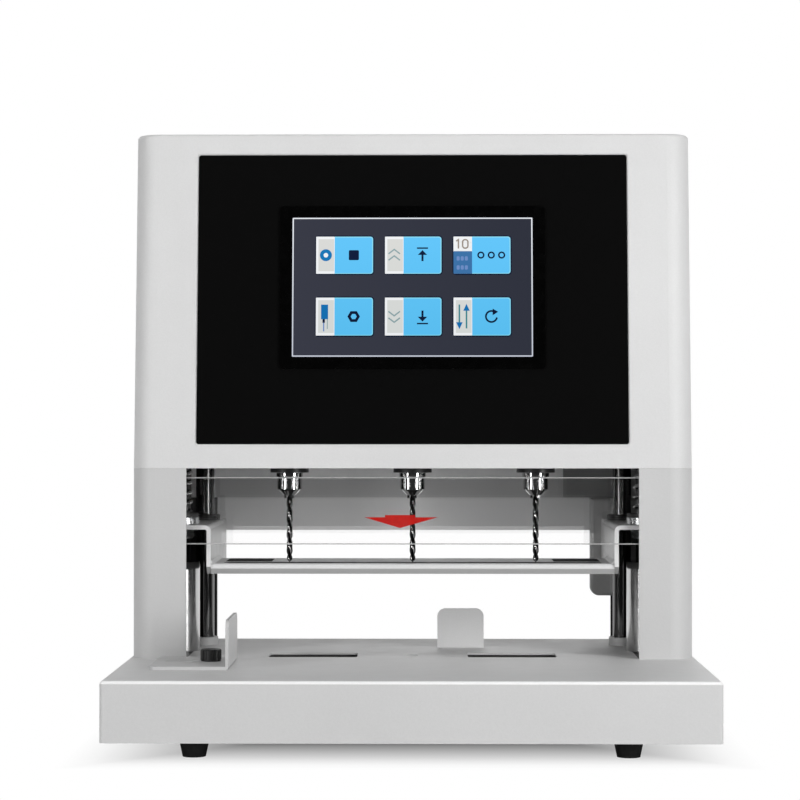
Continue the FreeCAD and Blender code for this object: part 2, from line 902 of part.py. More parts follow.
def carriage_plate():
    """The plate that carries the spindles, with slots for the two adjustable ones."""
    plate = rounded_box(
        -carriage_half_width, carriage_half_width, carriage_front, carriage_rear, carriage_z, carriage_top, 10.0
    )
    low, high = carriage_z - 1, carriage_top + 1
    neck = housing_radius + slide_clearance
    spot = laser_radius + 1
    right = [
        slot_x(pitch_min - neck, pitch_max + neck, drill_y, 2 * neck, low, high),
        slot_x(pitch_min - spot, pitch_max + spot, laser_y, 2 * spot, low, high),
        rod(guide_bearing_radius, low, high, guide_rod_x, guide_rod_y),
        rod(clamp_bush_radius, low, high, clamp_rod_x, drill_y),
        rod(lift_rod_radius, low, high, lift_rod_x, lift_rod_y)
    ]
    centre = [
        rod(housing_radius, low, high, 0, drill_y),
        rod(screw_radius + 2, low, high, 0, screw_y)
    ]
    return plate.cut(right + [mirrored(s) for s in right] + centre)


def carriage_bushes():
    """Two ball bushes on the guide rods and two flanged bushes for the clamp rods."""
    z = carriage_z + carriage_thickness / 2 - guide_bearing_length / 2
    guide = rod(guide_bearing_radius, z, z + guide_bearing_length, guide_rod_x, guide_rod_y)
    guide = guide.cut(
        rod(guide_rod_radius + running_clearance, z - 1, z + guide_bearing_length + 1, guide_rod_x, guide_rod_y)
    )
    bush = rod(clamp_bush_radius, carriage_z, carriage_top, clamp_rod_x, drill_y)
    flange = rod(
        clamp_bush_flange_radius, carriage_top, carriage_top + clamp_bush_flange, clamp_rod_x, drill_y
    )
    bore = rod(
        clamp_rod_radius + running_clearance, carriage_z - 1, carriage_top + clamp_bush_flange + 1,
        clamp_rod_x, drill_y
    )
    bush = bush.fuse(flange).cut(bore).removeSplitter()
    return Part.makeCompound([guide, mirrored(guide), bush, mirrored(bush)])


def lift_bridge():
    """The bridge on the carriage that carries the lift nut above the screw's lower end."""
    half, depth, t = bridge_half_width, bridge_depth / 2, bridge_sheet
    top = carriage_top + bridge_height
    outer = box(-half, half, screw_y - depth, screw_y + depth, carriage_top, top)
    inner = box(t - half, half - t, screw_y - depth - 1, screw_y + depth + 1, carriage_top - 1, top - t)
    arch = outer.cut(inner)
    for side in (-1, 1):
        x0, x1 = sorted((side * (half - t), side * (half + bridge_foot)))
        arch = arch.fuse(box(x0, x1, screw_y - depth, screw_y + depth, carriage_top, carriage_top + t))
    return arch.cut(rod(nut_radius, top - t - 1, top + 1, 0, screw_y)).removeSplitter()


def lift_nut():
    top = carriage_top + bridge_height
    flange = rod(nut_flange_radius, top, top + nut_flange, 0, screw_y)
    body = rod(nut_radius, top + nut_flange - nut_length, top + nut_flange, 0, screw_y)
    bore = rod(screw_radius + running_clearance, top - nut_length, top + nut_flange + 1, 0, screw_y)
    return flange.fuse(body).cut(bore).removeSplitter()


def lift_screw():
    """The trapezoidal screw with its coupling, which the lift motor turns."""
    z = table_z
    thread = rod(screw_radius, z + screw_bottom, z + screw_top, 0, screw_y)
    journal = rod(screw_radius - 1, z + screw_top, coupling_z(), 0, screw_y)
    coupling = rod(coupling_radius, coupling_z(), coupling_z() + coupling_length, 0, screw_y)
    coupling = rounded(coupling, 1.0, lambda e: isinstance(e.Curve, Part.Circle))
    bore = rod(
        lift_motor_shaft_radius, coupling_z() + coupling_length / 2, coupling_z() + coupling_length + 1, 0, screw_y
    )
    return thread.fuse([journal, coupling]).cut(bore).removeSplitter()


def bearing_z():
    return table_z + screw_top


def coupling_z():
    return bearing_z() + bearing_height + 1.0


def lift_plate_z():
    return coupling_z() + coupling_length + 2.0


def bearing_plate_z():
    return bearing_z() - 0.5


def standoff_places():
    reach = lift_plate_size / 2 - lift_standoff_radius - 2
    return [(sx * reach, screw_y + sy * reach) for sx in (-1, 1) for sy in (-1, 1)]


def lift_mount():
    """Two plates hung from the top plate on four pillars: one for the screw bearing, one for the motor."""
    half = lift_plate_size / 2
    plates = []
    for z in (bearing_z(), lift_plate_z()):
        plates.append(
            rounded_box(-half, half, screw_y - half, screw_y + half, z, z + lift_plate_thickness, 4.0)
        )
    pillars = [rod(lift_standoff_radius, bearing_z(), post_top, x, y) for x, y in standoff_places()]
    seat = rod(bearing_radius, bearing_z() - 1, bearing_z() + lift_plate_thickness + 1, 0, screw_y)
    shaft = rod(lift_motor_shaft_radius + 4, lift_plate_z() - 1, post_top, 0, screw_y)
    mount = plates[0].fuse(plates[1:] + pillars)
    return mount.cut([seat, shaft]).removeSplitter()


def screw_bearing():
    z = bearing_z()
    ring = rod(bearing_radius, z, z + bearing_height, 0, screw_y)
    return ring.cut(rod(screw_radius - 1 + running_clearance, z - 1, z + bearing_height + 1, 0, screw_y))


def lift_motor():
    low = lift_plate_z() + lift_plate_thickness
    can = rod(lift_motor_radius, low, post_top - 1, 0, screw_y)
    shaft_low = coupling_z() + coupling_length / 2 + 0.5
    shaft = rod(lift_motor_shaft_radius - running_clearance, shaft_low, low, 0, screw_y)
    return can.fuse(shaft).removeSplitter()


# Guide rods, tubes and collars


def guide_rods():
    rod_solid = rod(
        guide_rod_radius, bed_bottom, post_top + top_plate_thickness, guide_rod_x, guide_rod_y
    )
    return both(rod_solid)


def rod_collars():
    ring = rod(collar_radius, bed_top, table_z + collar_height, guide_rod_x, guide_rod_y)
    ring = rounded(ring, 0.8, lambda e: e.BoundBox.ZMin > table_z + collar_height - 0.1)
    ring = ring.cut(rod(guide_rod_radius, bed_top - 1, table_z + collar_height + 1, guide_rod_x, guide_rod_y))
    return both(ring)


def lift_tubes():
    """The fixed tubes that stand on the bed and guide the lower ends of the lift rods."""
    top = table_z + tube_height
    tube = rod(tube_radius, bed_bottom, top, lift_rod_x, lift_rod_y)
    tube = rounded(tube, 1.0, lambda e: e.BoundBox.ZMin > top - 0.1)
    tube = tube.cut(rod(tube_bore, bed_bottom - 1, top + 1, lift_rod_x, lift_rod_y))
    return both(tube)


def lift_rods():
    """The rods that hang from the carriage into the tubes, each with a flange below and a nut above."""
    x, y = lift_rod_x, lift_rod_y
    low = pan_top + travel + landing_gap + lift_rod_bottom_room
    stem = rod(lift_rod_radius, low, carriage_top + lift_rod_top, x, y)
    stem = rounded(stem, 1.5, lambda e: e.BoundBox.ZMax < low + 0.1)
    flange = rod(lift_rod_flange_radius, carriage_z - lift_rod_flange, carriage_z, x, y)
    nut = hex_nut(lift_nut_across, carriage_top, lift_nut_height, x, y)
    return both(stem.fuse([flange, nut]).removeSplitter())


def hex_nut(across, z, height, x, y):
    """A chamfered hexagonal nut without its bore."""
    corner = across / math.sqrt(3)
    ring = [
        Vector(x + corner * math.cos(math.pi * i / 3), y + corner * math.sin(math.pi * i / 3), z)
        for i in range(6)
    ]
    prism = Part.Face(Part.makePolygon(ring + ring[:1])).extrude(Vector(0, 0, height))
    reach = corner - across / 2
    low = Part.makeCone(across / 2, corner + reach, 2 * reach, Vector(x, y, z))
    mid = Part.makeCylinder(corner + reach, height - 4 * reach, Vector(x, y, z + 2 * reach))
    high = Part.makeCone(corner + reach, across / 2, 2 * reach, Vector(x, y, z + height - 2 * reach))
    return prism.common(low.fuse([mid, high]))


# Clamp


def clamp_side(offset, top, rear, low):
    """The plate's outline from the side; its front flange leans in towards its foot."""
    lean = clamp_flange_slope / clamp_flange_depth
    front = clamp_front + offset * math.hypot(1, lean)
    corners = [
        Vector(0, front + lean * (clamp_top - top), top), Vector(0, rear, top), Vector(0, rear, low),
        Vector(0, front + lean * (clamp_top - low), low)
    ]
    return Part.Face(Part.makePolygon(corners + corners[:1]))


def clamp_plate():
    """The pressing plate: a sheet with its front and ends folded down, welded to the bracket legs."""
    half, t = bracket_inner_x, clamp_sheet
    outer = clamp_side(0, clamp_top, clamp_rear, clamp_bottom).extrude(Vector(2 * half, 0, 0))
    outer.translate(Vector(-half, 0, 0))
    top_front = lambda e: e.BoundBox.ZMin > clamp_top - 0.1 and e.BoundBox.YMax < clamp_front + 1
    outer = rounded(outer, clamp_edge_radius, lambda e: along(e, Vector(1, 0, 0)) and top_front(e))
    hollow = clamp_side(t, clamp_top - t, clamp_rear + 1, clamp_bottom - 1)
    hollow = hollow.extrude(Vector(2 * (half - t), 0, 0))
    hollow.translate(Vector(t - half, 0, 0))
    bead = weld_bead()
    plate = outer.cut(hollow).fuse([bead, mirrored(bead)])
    low, high = clamp_top - t - 1, clamp_top + 1
    strip = drill_strip_half_length
    cutters = [slot_x(-strip, strip, drill_y, drill_strip_width, low, high)]
    for side in (-1, 1):
        x0, x1 = sorted((side * pad_inner_x, side * pad_outer_x))
        cutters.append(pad_window(x0, x1, low, high))
    return plate.cut(cutters).removeSplitter()


def weld_bead():
    """The weld in the corner between the plate and a bracket's leg."""
    x, w, y = bracket_inner_x, clamp_weld, clamp_front + clamp_edge_radius
    corners = [Vector(x - w, y, clamp_top), Vector(x, y, clamp_top), Vector(x, y, clamp_top + w)]
    return Part.Face(Part.makePolygon(corners + corners[:1])).extrude(Vector(0, clamp_rear - 1 - y, 0))


def pad_window(x0, x1, z0, z1, lap=0.0):
    return rounded_box(x0 - lap, x1 + lap, pad_front - lap, pad_rear + lap, z0, z1, pad_radius)


def drill_guide():
    """The black strip let into the plate along the drill line, with the slots that the bits pass through."""
    t = clamp_sheet
    reach = drill_strip_half_length
    boss = slot_x(-reach, reach, drill_y, drill_strip_width, clamp_top - t, clamp_top)
    lap = drill_strip_lap
    base = slot_x(
        -reach - lap, reach + lap, drill_y, drill_strip_width + 2 * lap,
        clamp_top - t - drill_strip_base, clamp_top - t
    )
    low, high = clamp_top - t - drill_strip_base - 1, clamp_top + 1
    return boss.fuse(base).cut(drill_slots(drill_hole_width, slot_inner_x, slot_outer_x, low, high)).removeSplitter()


def clamp_pads():
    """Rubber pads under the plate's ends; each has a plug that fills a window in the plate."""
    t = clamp_sheet
    plug = pad_window(pad_inner_x, pad_outer_x, clamp_top - t, clamp_top)
    base = pad_window(pad_inner_x, pad_outer_x, clamp_bottom + landing_gap, clamp_top - t, pad_lap)
    return both(plug.fuse(base).removeSplitter())


def clamp_bracket(side):
    """A bent bracket: a leg beside the plate and a flange outwards, with a bay that clears the lift tube."""
    t = bracket_sheet
    inner = bracket_inner_x
    leg = box(inner, inner + t, clamp_front, bracket_rear, clamp_bottom, bracket_top)
    flange = box(inner, bracket_outer_x, clamp_front, bracket_rear, bracket_top - t, bracket_top)
    bent = leg.fuse(flange).removeSplitter()
    lengthwise = lambda e: along(e, Vector(0, 1, 0))
    outer_bend = lambda e: lengthwise(e) and e.BoundBox.XMax < inner + 0.1 and e.BoundBox.ZMin > bracket_top - 0.1
    bent = rounded(bent, bracket_bend_radius, outer_bend)
    inner_bend = (
        lambda e: lengthwise(e)
        and abs(e.BoundBox.XMin - inner - t) < 0.1
        and abs(e.BoundBox.ZMin - bracket_top + t) < 0.1
    )
    bent = rounded(bent, bracket_bend_radius - t, inner_bend)
    corners = lambda e: vertical(e) and e.BoundBox.XMin > bracket_outer_x - 0.1
    bent = rounded(bent, bracket_corner_radius, corners)
    tail = box(inner, inner + t, bracket_rear, bracket_leg_rear, clamp_bottom, bracket_top)
    tail_corner = lambda e: along(e, Vector(1, 0, 0)) and e.BoundBox.YMin > bracket_leg_rear - 0.1
    tail = rounded(tail, bracket_leg_radius, lambda e: tail_corner(e) and e.BoundBox.ZMin > bracket_top - 0.1)
    bent = bent.fuse(tail)
    cut = clamp_corner_cut
    toe = [
        Vector(inner - 1, clamp_front, clamp_bottom), Vector(inner - 1, clamp_front + cut, clamp_bottom),
        Vector(inner - 1, clamp_front, clamp_bottom + cut)
    ]
    wedge = Part.Face(Part.makePolygon(toe + toe[:1])).extrude(Vector(t + 2, 0, 0))
    low, high = bracket_top - t - 1, bracket_top + 1
    bay = tube_radius + bracket_tube_gap
    holes = [
        rod(clamp_rod_radius, low, high, clamp_rod_x, drill_y),
        rod(guide_bush_radius, low, high, guide_rod_x, guide_rod_y),
        rod(bay, low, high, lift_rod_x, lift_rod_y),
        box(lift_rod_x, bracket_outer_x + 1, lift_rod_y - bay, lift_rod_y + bay, low, high)
    ]
    bent = bent.cut([wedge] + holes)
    return mirrored(bent) if side < 0 else bent


def clamp_rods():
    """The rods that hang the brackets from the carriage, through the springs."""
    low = bracket_top - bracket_sheet - clamp_rod_end
    top = stop_collar_z() + stop_collar_height + rod_tail
    stem = rod(clamp_rod_radius, low, top, clamp_rod_x, drill_y)
    return both(rounded(stem, 0.8, lambda e: isinstance(e.Curve, Part.Circle)))


def stop_collar_z():
    return carriage_top + clamp_bush_flange + landing_gap


def clamp_nuts():
    """On each clamp rod: the lock nut under the bracket, the nut on it and the stop collar on top."""
    x, y = clamp_rod_x, drill_y
    under = bracket_top - bracket_sheet
    lock = hex_nut(lock_nut_across, under - lock_nut_height, lock_nut_height, x, y)
    nut = rod(rod_nut_radius, bracket_top, nut_top, x, y)
    nut = rounded(nut, 0.8, lambda e: isinstance(e.Curve, Part.Circle))
    collar = rod(stop_collar_radius, stop_collar_z(), stop_collar_z() + stop_collar_height, x, y)
    bore = rod(clamp_rod_radius, under - lock_nut_height - 1, stop_collar_z() + stop_collar_height + 1, x, y)
    rings = [lock.cut(bore), nut.cut(bore), collar.cut(bore)]
    return Part.makeCompound(rings + [mirrored(r) for r in rings])


def spring_seat():
    ring = rod(rod_washer_radius, nut_top, spring_bottom, clamp_rod_x, drill_y)
    return ring.cut(rod(clamp_rod_radius, nut_top - 1, spring_bottom + 1, clamp_rod_x, drill_y))


def clamp_springs():
    """Coil springs between the washers and the carriage, which press the plate on the paper."""
    steps_per_turn = 12
    sides = 6
    wire = spring_wire_radius
    mean = spring_outer_radius - wire
    low = spring_bottom + wire
    height = spring_height - 2 * wire - spring_end_gap
    steps = round(spring_turns * steps_per_turn)
    rings = []
    for i in range(steps + 1):
        around = 2 * math.pi * i / steps_per_turn
        outwards = Vector(math.cos(around), math.sin(around), 0)
        centre = outwards * mean + Vector(clamp_rod_x, drill_y, low + height * i / steps)
        ring = []
        for k in range(sides):
            a = 2 * math.pi * k / sides
            ring.append(centre + outwards * (wire * math.cos(a)) + Vector(0, 0, wire * math.sin(a)))
        rings.append(ring)
    return both(skin(rings))


def clamp_bushes():
    """Black flanged bushes that guide the brackets on the guide rods, and the seats under the springs."""
    t = bracket_sheet
    barrel = rod(guide_bush_radius, bracket_top - t - 2, bracket_top, guide_rod_x, guide_rod_y)
    flange = rod(
        guide_bush_flange_radius, bracket_top, bracket_top + guide_bush_flange, guide_rod_x, guide_rod_y
    )
    flange = rounded(flange, 1.0, lambda e: e.BoundBox.ZMin > bracket_top + guide_bush_flange - 0.1)
    bore = rod(
        guide_rod_radius + running_clearance, bracket_top - t - 3, bracket_top + guide_bush_flange + 1,
        guide_rod_x, guide_rod_y
    )
    bush = barrel.fuse(flange).cut(bore).removeSplitter()
    return Part.makeCompound([bush, mirrored(bush), spring_seat(), mirrored(spring_seat())])


# Guard, stops


def shield():
    front = body_front + 2 * sheet
    plate = box(
        -shield_half_width, shield_half_width, front, front + shield_thickness,
        table_z + shield_bottom, table_z + shield_top
    )
    plate = rounded(plate, 2.0, lambda e: along(e, Vector(0, 1, 0)))
    return plate.cut([screw_hole(p) for p in shield_screws()])


def side_stop():
    """The left paper stop: an angle with a slot under its clamping knob."""
    t = stop_sheet
    low = table_z + stop_clearance
    leg = box(stop_left_x, stop_face_x, stop_front, stop_leg_rear, low, low + t)
    leg = rounded(
        leg, stop_leg_corner_radius, lambda e: vertical(e) and e.BoundBox.XMax < stop_left_x + 0.1
    )
    upright = box(stop_face_x - t, stop_face_x, stop_front, stop_rear, low, table_z + stop_height)
    top_corner = lambda e: along(e, Vector(1, 0, 0)) and e.BoundBox.ZMin > table_z + stop_height - 0.1
    upright = rounded(upright, stop_corner_radius, top_corner)
    angle = leg.fuse(upright).removeSplitter()
    bend = lambda e: (
        along(e, Vector(0, 1, 0)) and e.BoundBox.XMin > stop_face_x - 0.1 and e.BoundBox.ZMax < low + 0.1
    )
    angle = rounded(angle, min(stop_bend_radius, 0.8 * t), bend)
    stud = stop_slot_width / 2
    slot = slot_x(
        knob_x - stop_travel_right - stud, knob_x + stop_travel_left + stud, knob_y, stop_slot_width,
        low - 1, low + t + 1
    )
    return angle.cut(slot)


def side_stop_knob():
    """The lobed knob with its washer and stud."""
    low = table_z + stop_clearance + stop_sheet + stop_clearance
    washer = rod(knob_washer_radius, low, low + knob_washer, knob_x, knob_y)
    z = low + knob_washer
    grip = rod(knob_radius, z, z + knob_height, knob_x, knob_y)
    grip = rounded(grip, 1.2, lambda e: e.BoundBox.ZMin > z + knob_height - 0.1)
    dents = []
    for i in range(knob_lobes):
        a = 2 * math.pi * i / knob_lobes
        reach = knob_radius + knob_lobe_radius * 0.45
        dents.append(
            rod(knob_lobe_radius, z, z + knob_height, knob_x + reach * math.cos(a), knob_y + reach * math.sin(a))
        )
    stud = rod(knob_stud_radius, bed_bottom, low, knob_x, knob_y)
    return grip.cut(dents).fuse([washer, stud]).removeSplitter()


def fence_x():
    return (fence_left_x + fence_right_x) / 2


def rear_fence():
    """The rear paper stop: an upright with a slotted foot behind it."""
    t = stop_sheet
    low = table_z + stop_clearance
    upright = box(fence_left_x, fence_right_x, fence_front, fence_front + t, low, table_z + fence_height)
    top_corner = lambda e: along(e, Vector(0, 1, 0)) and e.BoundBox.ZMin > table_z + fence_height - 0.1
    upright = rounded(upright, fence_corner_radius, top_corner)
    foot = box(fence_left_x, fence_right_x, fence_front, fence_foot_rear, low, low + t)
    foot = rounded(foot, 4.0, lambda e: vertical(e) and e.BoundBox.YMin > fence_foot_rear - 0.1)
    angle = upright.fuse(foot).removeSplitter()
    r = fence_slot_width / 2
    slot = slot_y(
        fence_x(), fence_screw_y - fence_travel - r, fence_screw_y + r, fence_slot_width, low - 1, low + t + 1
    )
    return angle.cut(slot)


# Power inlet and electronics


def inlet_cut(y0, y1):
    z = table_z + inlet_height
    return box(
        inlet_x - inlet_cut_width / 2, inlet_x + inlet_cut_width / 2, y0, y1,
        z - inlet_cut_height / 2, z + inlet_cut_height / 2
    )


def terminal_cover():
    """The moulded cover in the right column: shallow behind the clamp's leg, deep over the power inlet."""
    low, high = table_z + terminal_bottom, table_z + terminal_top
    y1 = post_flange_front

    def step(left, front, radius, inset, back):
        block = box(left + inset, terminal_right_x - inset, front + inset, back, low + inset, high - inset)
        foot = (
            lambda e: along(e, Vector(0, 1, 0))
            and e.BoundBox.XMax < left + inset + 0.1 and e.BoundBox.ZMax < low + inset + 0.1
        )
        block = rounded(block, terminal_corner_radius - inset, foot)
        return rounded(block, radius - inset, lambda e: e.BoundBox.YMax < front + inset + 0.1)

    def whole(inset, back):
        shallow = step(terminal_left_x, terminal_step_front, terminal_step_radius, inset, back)
        deep = step(body_half - terminal_step_inset, terminal_front, terminal_edge_radius, inset, back)
        return shallow.fuse(deep)

    hollow = whole(terminal_wall, y1 - terminal_wall)
    return whole(0, y1).cut([hollow, inlet_cut(y1 - terminal_wall - 1, y1 + 1)]).removeSplitter()


def power_inlet():
    """The rear inlet with three pins, and the cradle of the rocker above it."""
    z = table_z + inlet_height
    fit = inlet_fit
    half_w, half_h = inlet_cut_width / 2 - fit, inlet_cut_height / 2 - fit
    body = box(inlet_x - half_w, inlet_x + half_w, body_rear - inlet_depth, body_rear, z - half_h, z + half_h)
    flange = box(
        inlet_x - inlet_flange_width / 2, inlet_x + inlet_flange_width / 2, body_rear, body_rear + inlet_flange,
        z - inlet_flange_height / 2, z + inlet_flange_height / 2
    )
    flange = rounded(flange, 3.0, lambda e: along(e, Vector(0, 1, 0)))
    face = body_rear + inlet_flange
    cutters = [socket_hollow(face), rocker_well(face)]
    pins = []
    for i in (-1, 0, 1):
        x = inlet_x + i * pin_spacing
        pin_z = z - socket_drop + (1.5 if i == 0 else -1.5)
        pins.append(
            box(
                x - pin_width / 2, x + pin_width / 2, face - socket_depth, face - 4,
                pin_z - pin_height / 2, pin_z + pin_height / 2
            )
        )
    tabs = [
        box(inlet_x + i * pin_spacing - 0.4, inlet_x + i * pin_spacing + 0.4, body_rear - inlet_depth - 4,
            body_rear - inlet_depth, z - socket_drop - 3, z - socket_drop + 3)
        for i in (-1, 0, 1)
    ]
    return body.fuse(flange).cut(cutters).fuse(pins + tabs).removeSplitter()


def socket_hollow(face):
    z = table_z + inlet_height - socket_drop
    w, h, c = socket_width / 2, socket_height / 2, socket_corner
    outline = [(-w, -h), (w, -h), (w, h - c), (w - c, h), (c - w, h), (-w, h - c)]
    corners = [Vector(inlet_x + x, face - socket_depth, z + dz) for x, dz in outline]
    return Part.Face(Part.makePolygon(corners + corners[:1])).extrude(Vector(0, socket_depth + 1, 0))


def rocker_well(face):
    z = table_z + inlet_height + rocker_rise
    w = rocker_width / 2 + 0.3
    h = rocker_length / 2 + rocker_gap
    well = box(inlet_x - w, inlet_x + w, face - rocker_depth - 3, face + 1, z - h, z + h)
    pin = Part.makeCylinder(
        rocker_pin_radius + running_clearance, 2 * w + 3, Vector(inlet_x - w - 1.5, rocker_axis_y(), z),
        Vector(1, 0, 0)
    )
    return well.fuse(pin)


def rocker_axis_y():
    return body_rear + inlet_flange - rocker_depth / 2


def switch_rocker():
    """The rocker of the power switch, tilted to its on position."""
    z = table_z + inlet_height + rocker_rise
    front = body_rear + inlet_flange - rocker_sink
    back = front - rocker_depth
    half = rocker_length / 2
    outline = [
        (back, 3 - half), (back + 3, -half), (front, -half), (front - rocker_dish, 0),
        (front, half), (back + 3, half), (back, half - 3)
    ]
    corners = [Vector(inlet_x - rocker_width / 2, y, z + dz) for y, dz in outline]
    rocker = Part.Face(Part.makePolygon(corners + corners[:1])).extrude(Vector(rocker_width, 0, 0))
    reach = rocker_width / 2 + 1.4
    pin = Part.makeCylinder(
        rocker_pin_radius, 2 * reach, Vector(inlet_x - reach, rocker_axis_y(), z), Vector(1, 0, 0)
    )
    rocker = rocker.fuse(pin).removeSplitter()
    rocker.rotate(Vector(inlet_x, rocker_axis_y(), z), Vector(1, 0, 0), rocker_tilt)
    return rocker


def power_supply():
    """The caged supply on the baffle, with rows of vent slots in its cover."""
    z = table_z + electronics_bottom
    x0, x1 = supply_left_x, supply_left_x + supply_width
    y0 = baffle_front - supply_depth
    cage = box(x0, x1, y0, baffle_front, z, z + supply_height)
    cuts = []
    for i in range(supply_vent_count):
        slot_z = z + supply_vent_start + supply_vent_pitch * i
        cuts.append(
            box(x0 + supply_vent_margin, x1 - supply_vent_margin, y0 - 1, y0 + supply_vent_depth,
                slot_z, slot_z + supply_vent_height)
        )
    return cage.cut(cuts)


def control_board():
    """The control board on four standoffs, with its larger components."""
    z = table_z + electronics_bottom
    x0 = board_left_x
    back = baffle_front - board_standoff
    front = back - board_thickness
    board = box(x0, x0 + board_width, front, back, z, z + board_height)
    edge = board_stand_inset
    stands = [
        rod_y(board_stand_radius, back, baffle_front, x0 + dx, z + dz)
        for dx in (edge, board_width - edge) for dz in (edge, board_height - edge)
    ]
    relays = []
    for i in range(3):
        x = x0 + relay_inset + relay_pitch * i
        low = z + relay_inset
        relays.append(box(x, x + relay_width, front - relay_depth, front, low, low + relay_height))
    chip = box(
        x0 + chip_left, x0 + chip_left + chip_size, front - chip_depth, front,
        z + chip_low, z + chip_low + chip_size
    )
    strip = z + board_height - terminal_strip_drop
    terminals = box(
        x0 + terminal_strip_inset, x0 + board_width - terminal_strip_inset, front - terminal_strip_depth, front,
        strip, strip + terminal_strip_height
    )
    cans = [
        rod_y(can_radius, front - can_height, front, x0 + can_across, z + can_low + can_pitch * i)
        for i in range(2)
    ]
    return board.fuse(stands + relays + [chip, terminals] + cans).removeSplitter()


# Cover screws: each place is (point under the head, direction of the head)


def shield_screws():
    y = body_front + 2 * sheet + shield_thickness
    heights = (shield_bottom + shield_screw_inset, shield_top - shield_screw_inset)
    x = column_inner_x + column_hem / 2
    return [(Vector(s * x, y, table_z + h), Vector(0, 1, 0)) for s in (-1, 1) for h in heights]


def column_screws():
    x = body_half - column_width / 2
    heights = (column_screw_low, throat_height - column_screw_drop)
    return [(Vector(s * x, body_rear, table_z + h), Vector(0, 1, 0)) for s in (-1, 1) for h in heights]


def rear_screws():
    x = body_half - column_width / 2
    heights = (
        throat_height + rear_screw_low, throat_height + rear_screw_middle, top_plate_height - rear_screw_drop
    )
    return [(Vector(s * x, body_rear, table_z + h), Vector(0, 1, 0)) for s in (-1, 1) for h in heights]


def fence_screws():
    top = table_z + stop_clearance + stop_sheet + stop_clearance
    return [(Vector(fence_x(), fence_screw_y, top), Vector(0, 0, 1))]


def screw_hole(place):
    under_head, out = place
    length = screw_shank
    return Part.makeCylinder(screw_shank_radius, length + 1, under_head - out * length, out)


def cover_screw(place):
    under_head, out = place
    head = Part.makeCone(screw_head_radius, screw_head_radius - screw_head_taper, screw_head_height, under_head, out)
    shank = Part.makeCylinder(screw_shank_radius, screw_shank, under_head - out * screw_shank, out)
    return head.fuse(shank)


def cover_screws():
    places = shield_screws() + column_screws() + rear_screws() + fence_screws()
    return Part.makeCompound([cover_screw(p) for p in places])


def main():
    save("base_cover", base_cover())
    save("base_pan", base_pan())
    save("feet", feet())
    save("bed_casting", bed_casting())
    save("cutting_strips", cutting_strips())
    save("column_right", column(True))
    save("column_left", mirrored(column(False)))
    save("head_cover", head_cover())
    save("rear_cover", rear_cover())
    save("posts", Part.makeCompound([post(True), mirrored(post(False))]))
    save("top_plate", top_plate())
    save("inner_baffle", inner_baffle())
    save("front_panel", front_panel())
    save("screen_bezel", screen_bezel())
    save("screen_glass", screen_glass())
    save("guide_rods", guide_rods())
    save("rod_collars", rod_collars())
    save("lift_tubes", lift_tubes())
    save("lift_rods", lift_rods())
    save("shield", shield())
    save("terminal_cover", terminal_cover())
    save("power_inlet", power_inlet())
    save("switch_rocker", switch_rocker())
    save("power_supply", power_supply())
    save("control_board", control_board())
    save("cover_screws", cover_screws())
    save("lift_mount", lift_mount())
    save("lift_motor", lift_motor())
    save("screw_bearing", screw_bearing())
    save("lift_screw", lift_screw())
    save("carriage_plate", carriage_plate())
    save("carriage_bushes", carriage_bushes())
    save("lift_bridge", lift_bridge())
    save("lift_nut", lift_nut())
    for name, x in (("left", -drill_pitch), ("centre", 0.0), ("right", drill_pitch)):
        save(name + "_housing", spindle_housing(x, x != 0))
        save(name + "_motor", spindle_motor(x))
        save(name + "_chuck", chuck(x))
        save(name + "_bit", drill_bit(x))
        if x:
            save(name + "_laser", laser(x))
    save("clamp_plate", clamp_plate())
    save("clamp_bracket_left", clamp_bracket(-1))
    save("clamp_bracket_right", clamp_bracket(1))
    save("drill_guide", drill_guide())
    save("clamp_pads", clamp_pads())
    save("clamp_rods", clamp_rods())
    save("clamp_nuts", clamp_nuts())
    save("clamp_springs", clamp_springs())
    save("clamp_bushes", clamp_bushes())
    save("side_stop", side_stop())
    save("side_stop_knob", side_stop_knob())
    save("rear_fence", rear_fence())


main()
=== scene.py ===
import math

import bmesh
import bpy
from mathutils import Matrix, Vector


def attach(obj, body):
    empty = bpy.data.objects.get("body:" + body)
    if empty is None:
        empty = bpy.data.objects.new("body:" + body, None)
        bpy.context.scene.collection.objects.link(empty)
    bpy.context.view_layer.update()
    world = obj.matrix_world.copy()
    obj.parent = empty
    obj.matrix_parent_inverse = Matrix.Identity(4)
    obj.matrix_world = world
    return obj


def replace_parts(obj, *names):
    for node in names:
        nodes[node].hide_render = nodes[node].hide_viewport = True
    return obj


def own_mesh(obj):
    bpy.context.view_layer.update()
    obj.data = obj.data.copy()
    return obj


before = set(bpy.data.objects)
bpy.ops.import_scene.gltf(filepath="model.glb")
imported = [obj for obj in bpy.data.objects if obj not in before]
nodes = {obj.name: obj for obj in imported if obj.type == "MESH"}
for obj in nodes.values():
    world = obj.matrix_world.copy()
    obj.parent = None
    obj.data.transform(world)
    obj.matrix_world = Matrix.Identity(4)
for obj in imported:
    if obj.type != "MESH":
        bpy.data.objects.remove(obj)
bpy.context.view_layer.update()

scene = bpy.context.scene
mm = 0.001

half_width, half_depth = 0.235, 0.175
drill_pitch, drill_y = 103.0, 22.0
clamp_rod_x = 193.0


# Camera: the photograph's viewpoint, from its vanishing point and scale

camera_data = bpy.data.cameras.new("camera")
camera_data.sensor_width = 36.0
camera_data.lens = 104.6
camera_data.clip_start, camera_data.clip_end = 0.05, 60.0
camera = bpy.data.objects.new("camera", camera_data)
scene.collection.objects.link(camera)
camera.location = (0.0129, -1.925, 0.2555)
camera.rotation_mode = "QUATERNION"
camera.rotation_quaternion = Vector((-0.01204, 1.0, 0.01032)).to_track_quat("-Z", "Y")
scene.camera = camera


# Colours

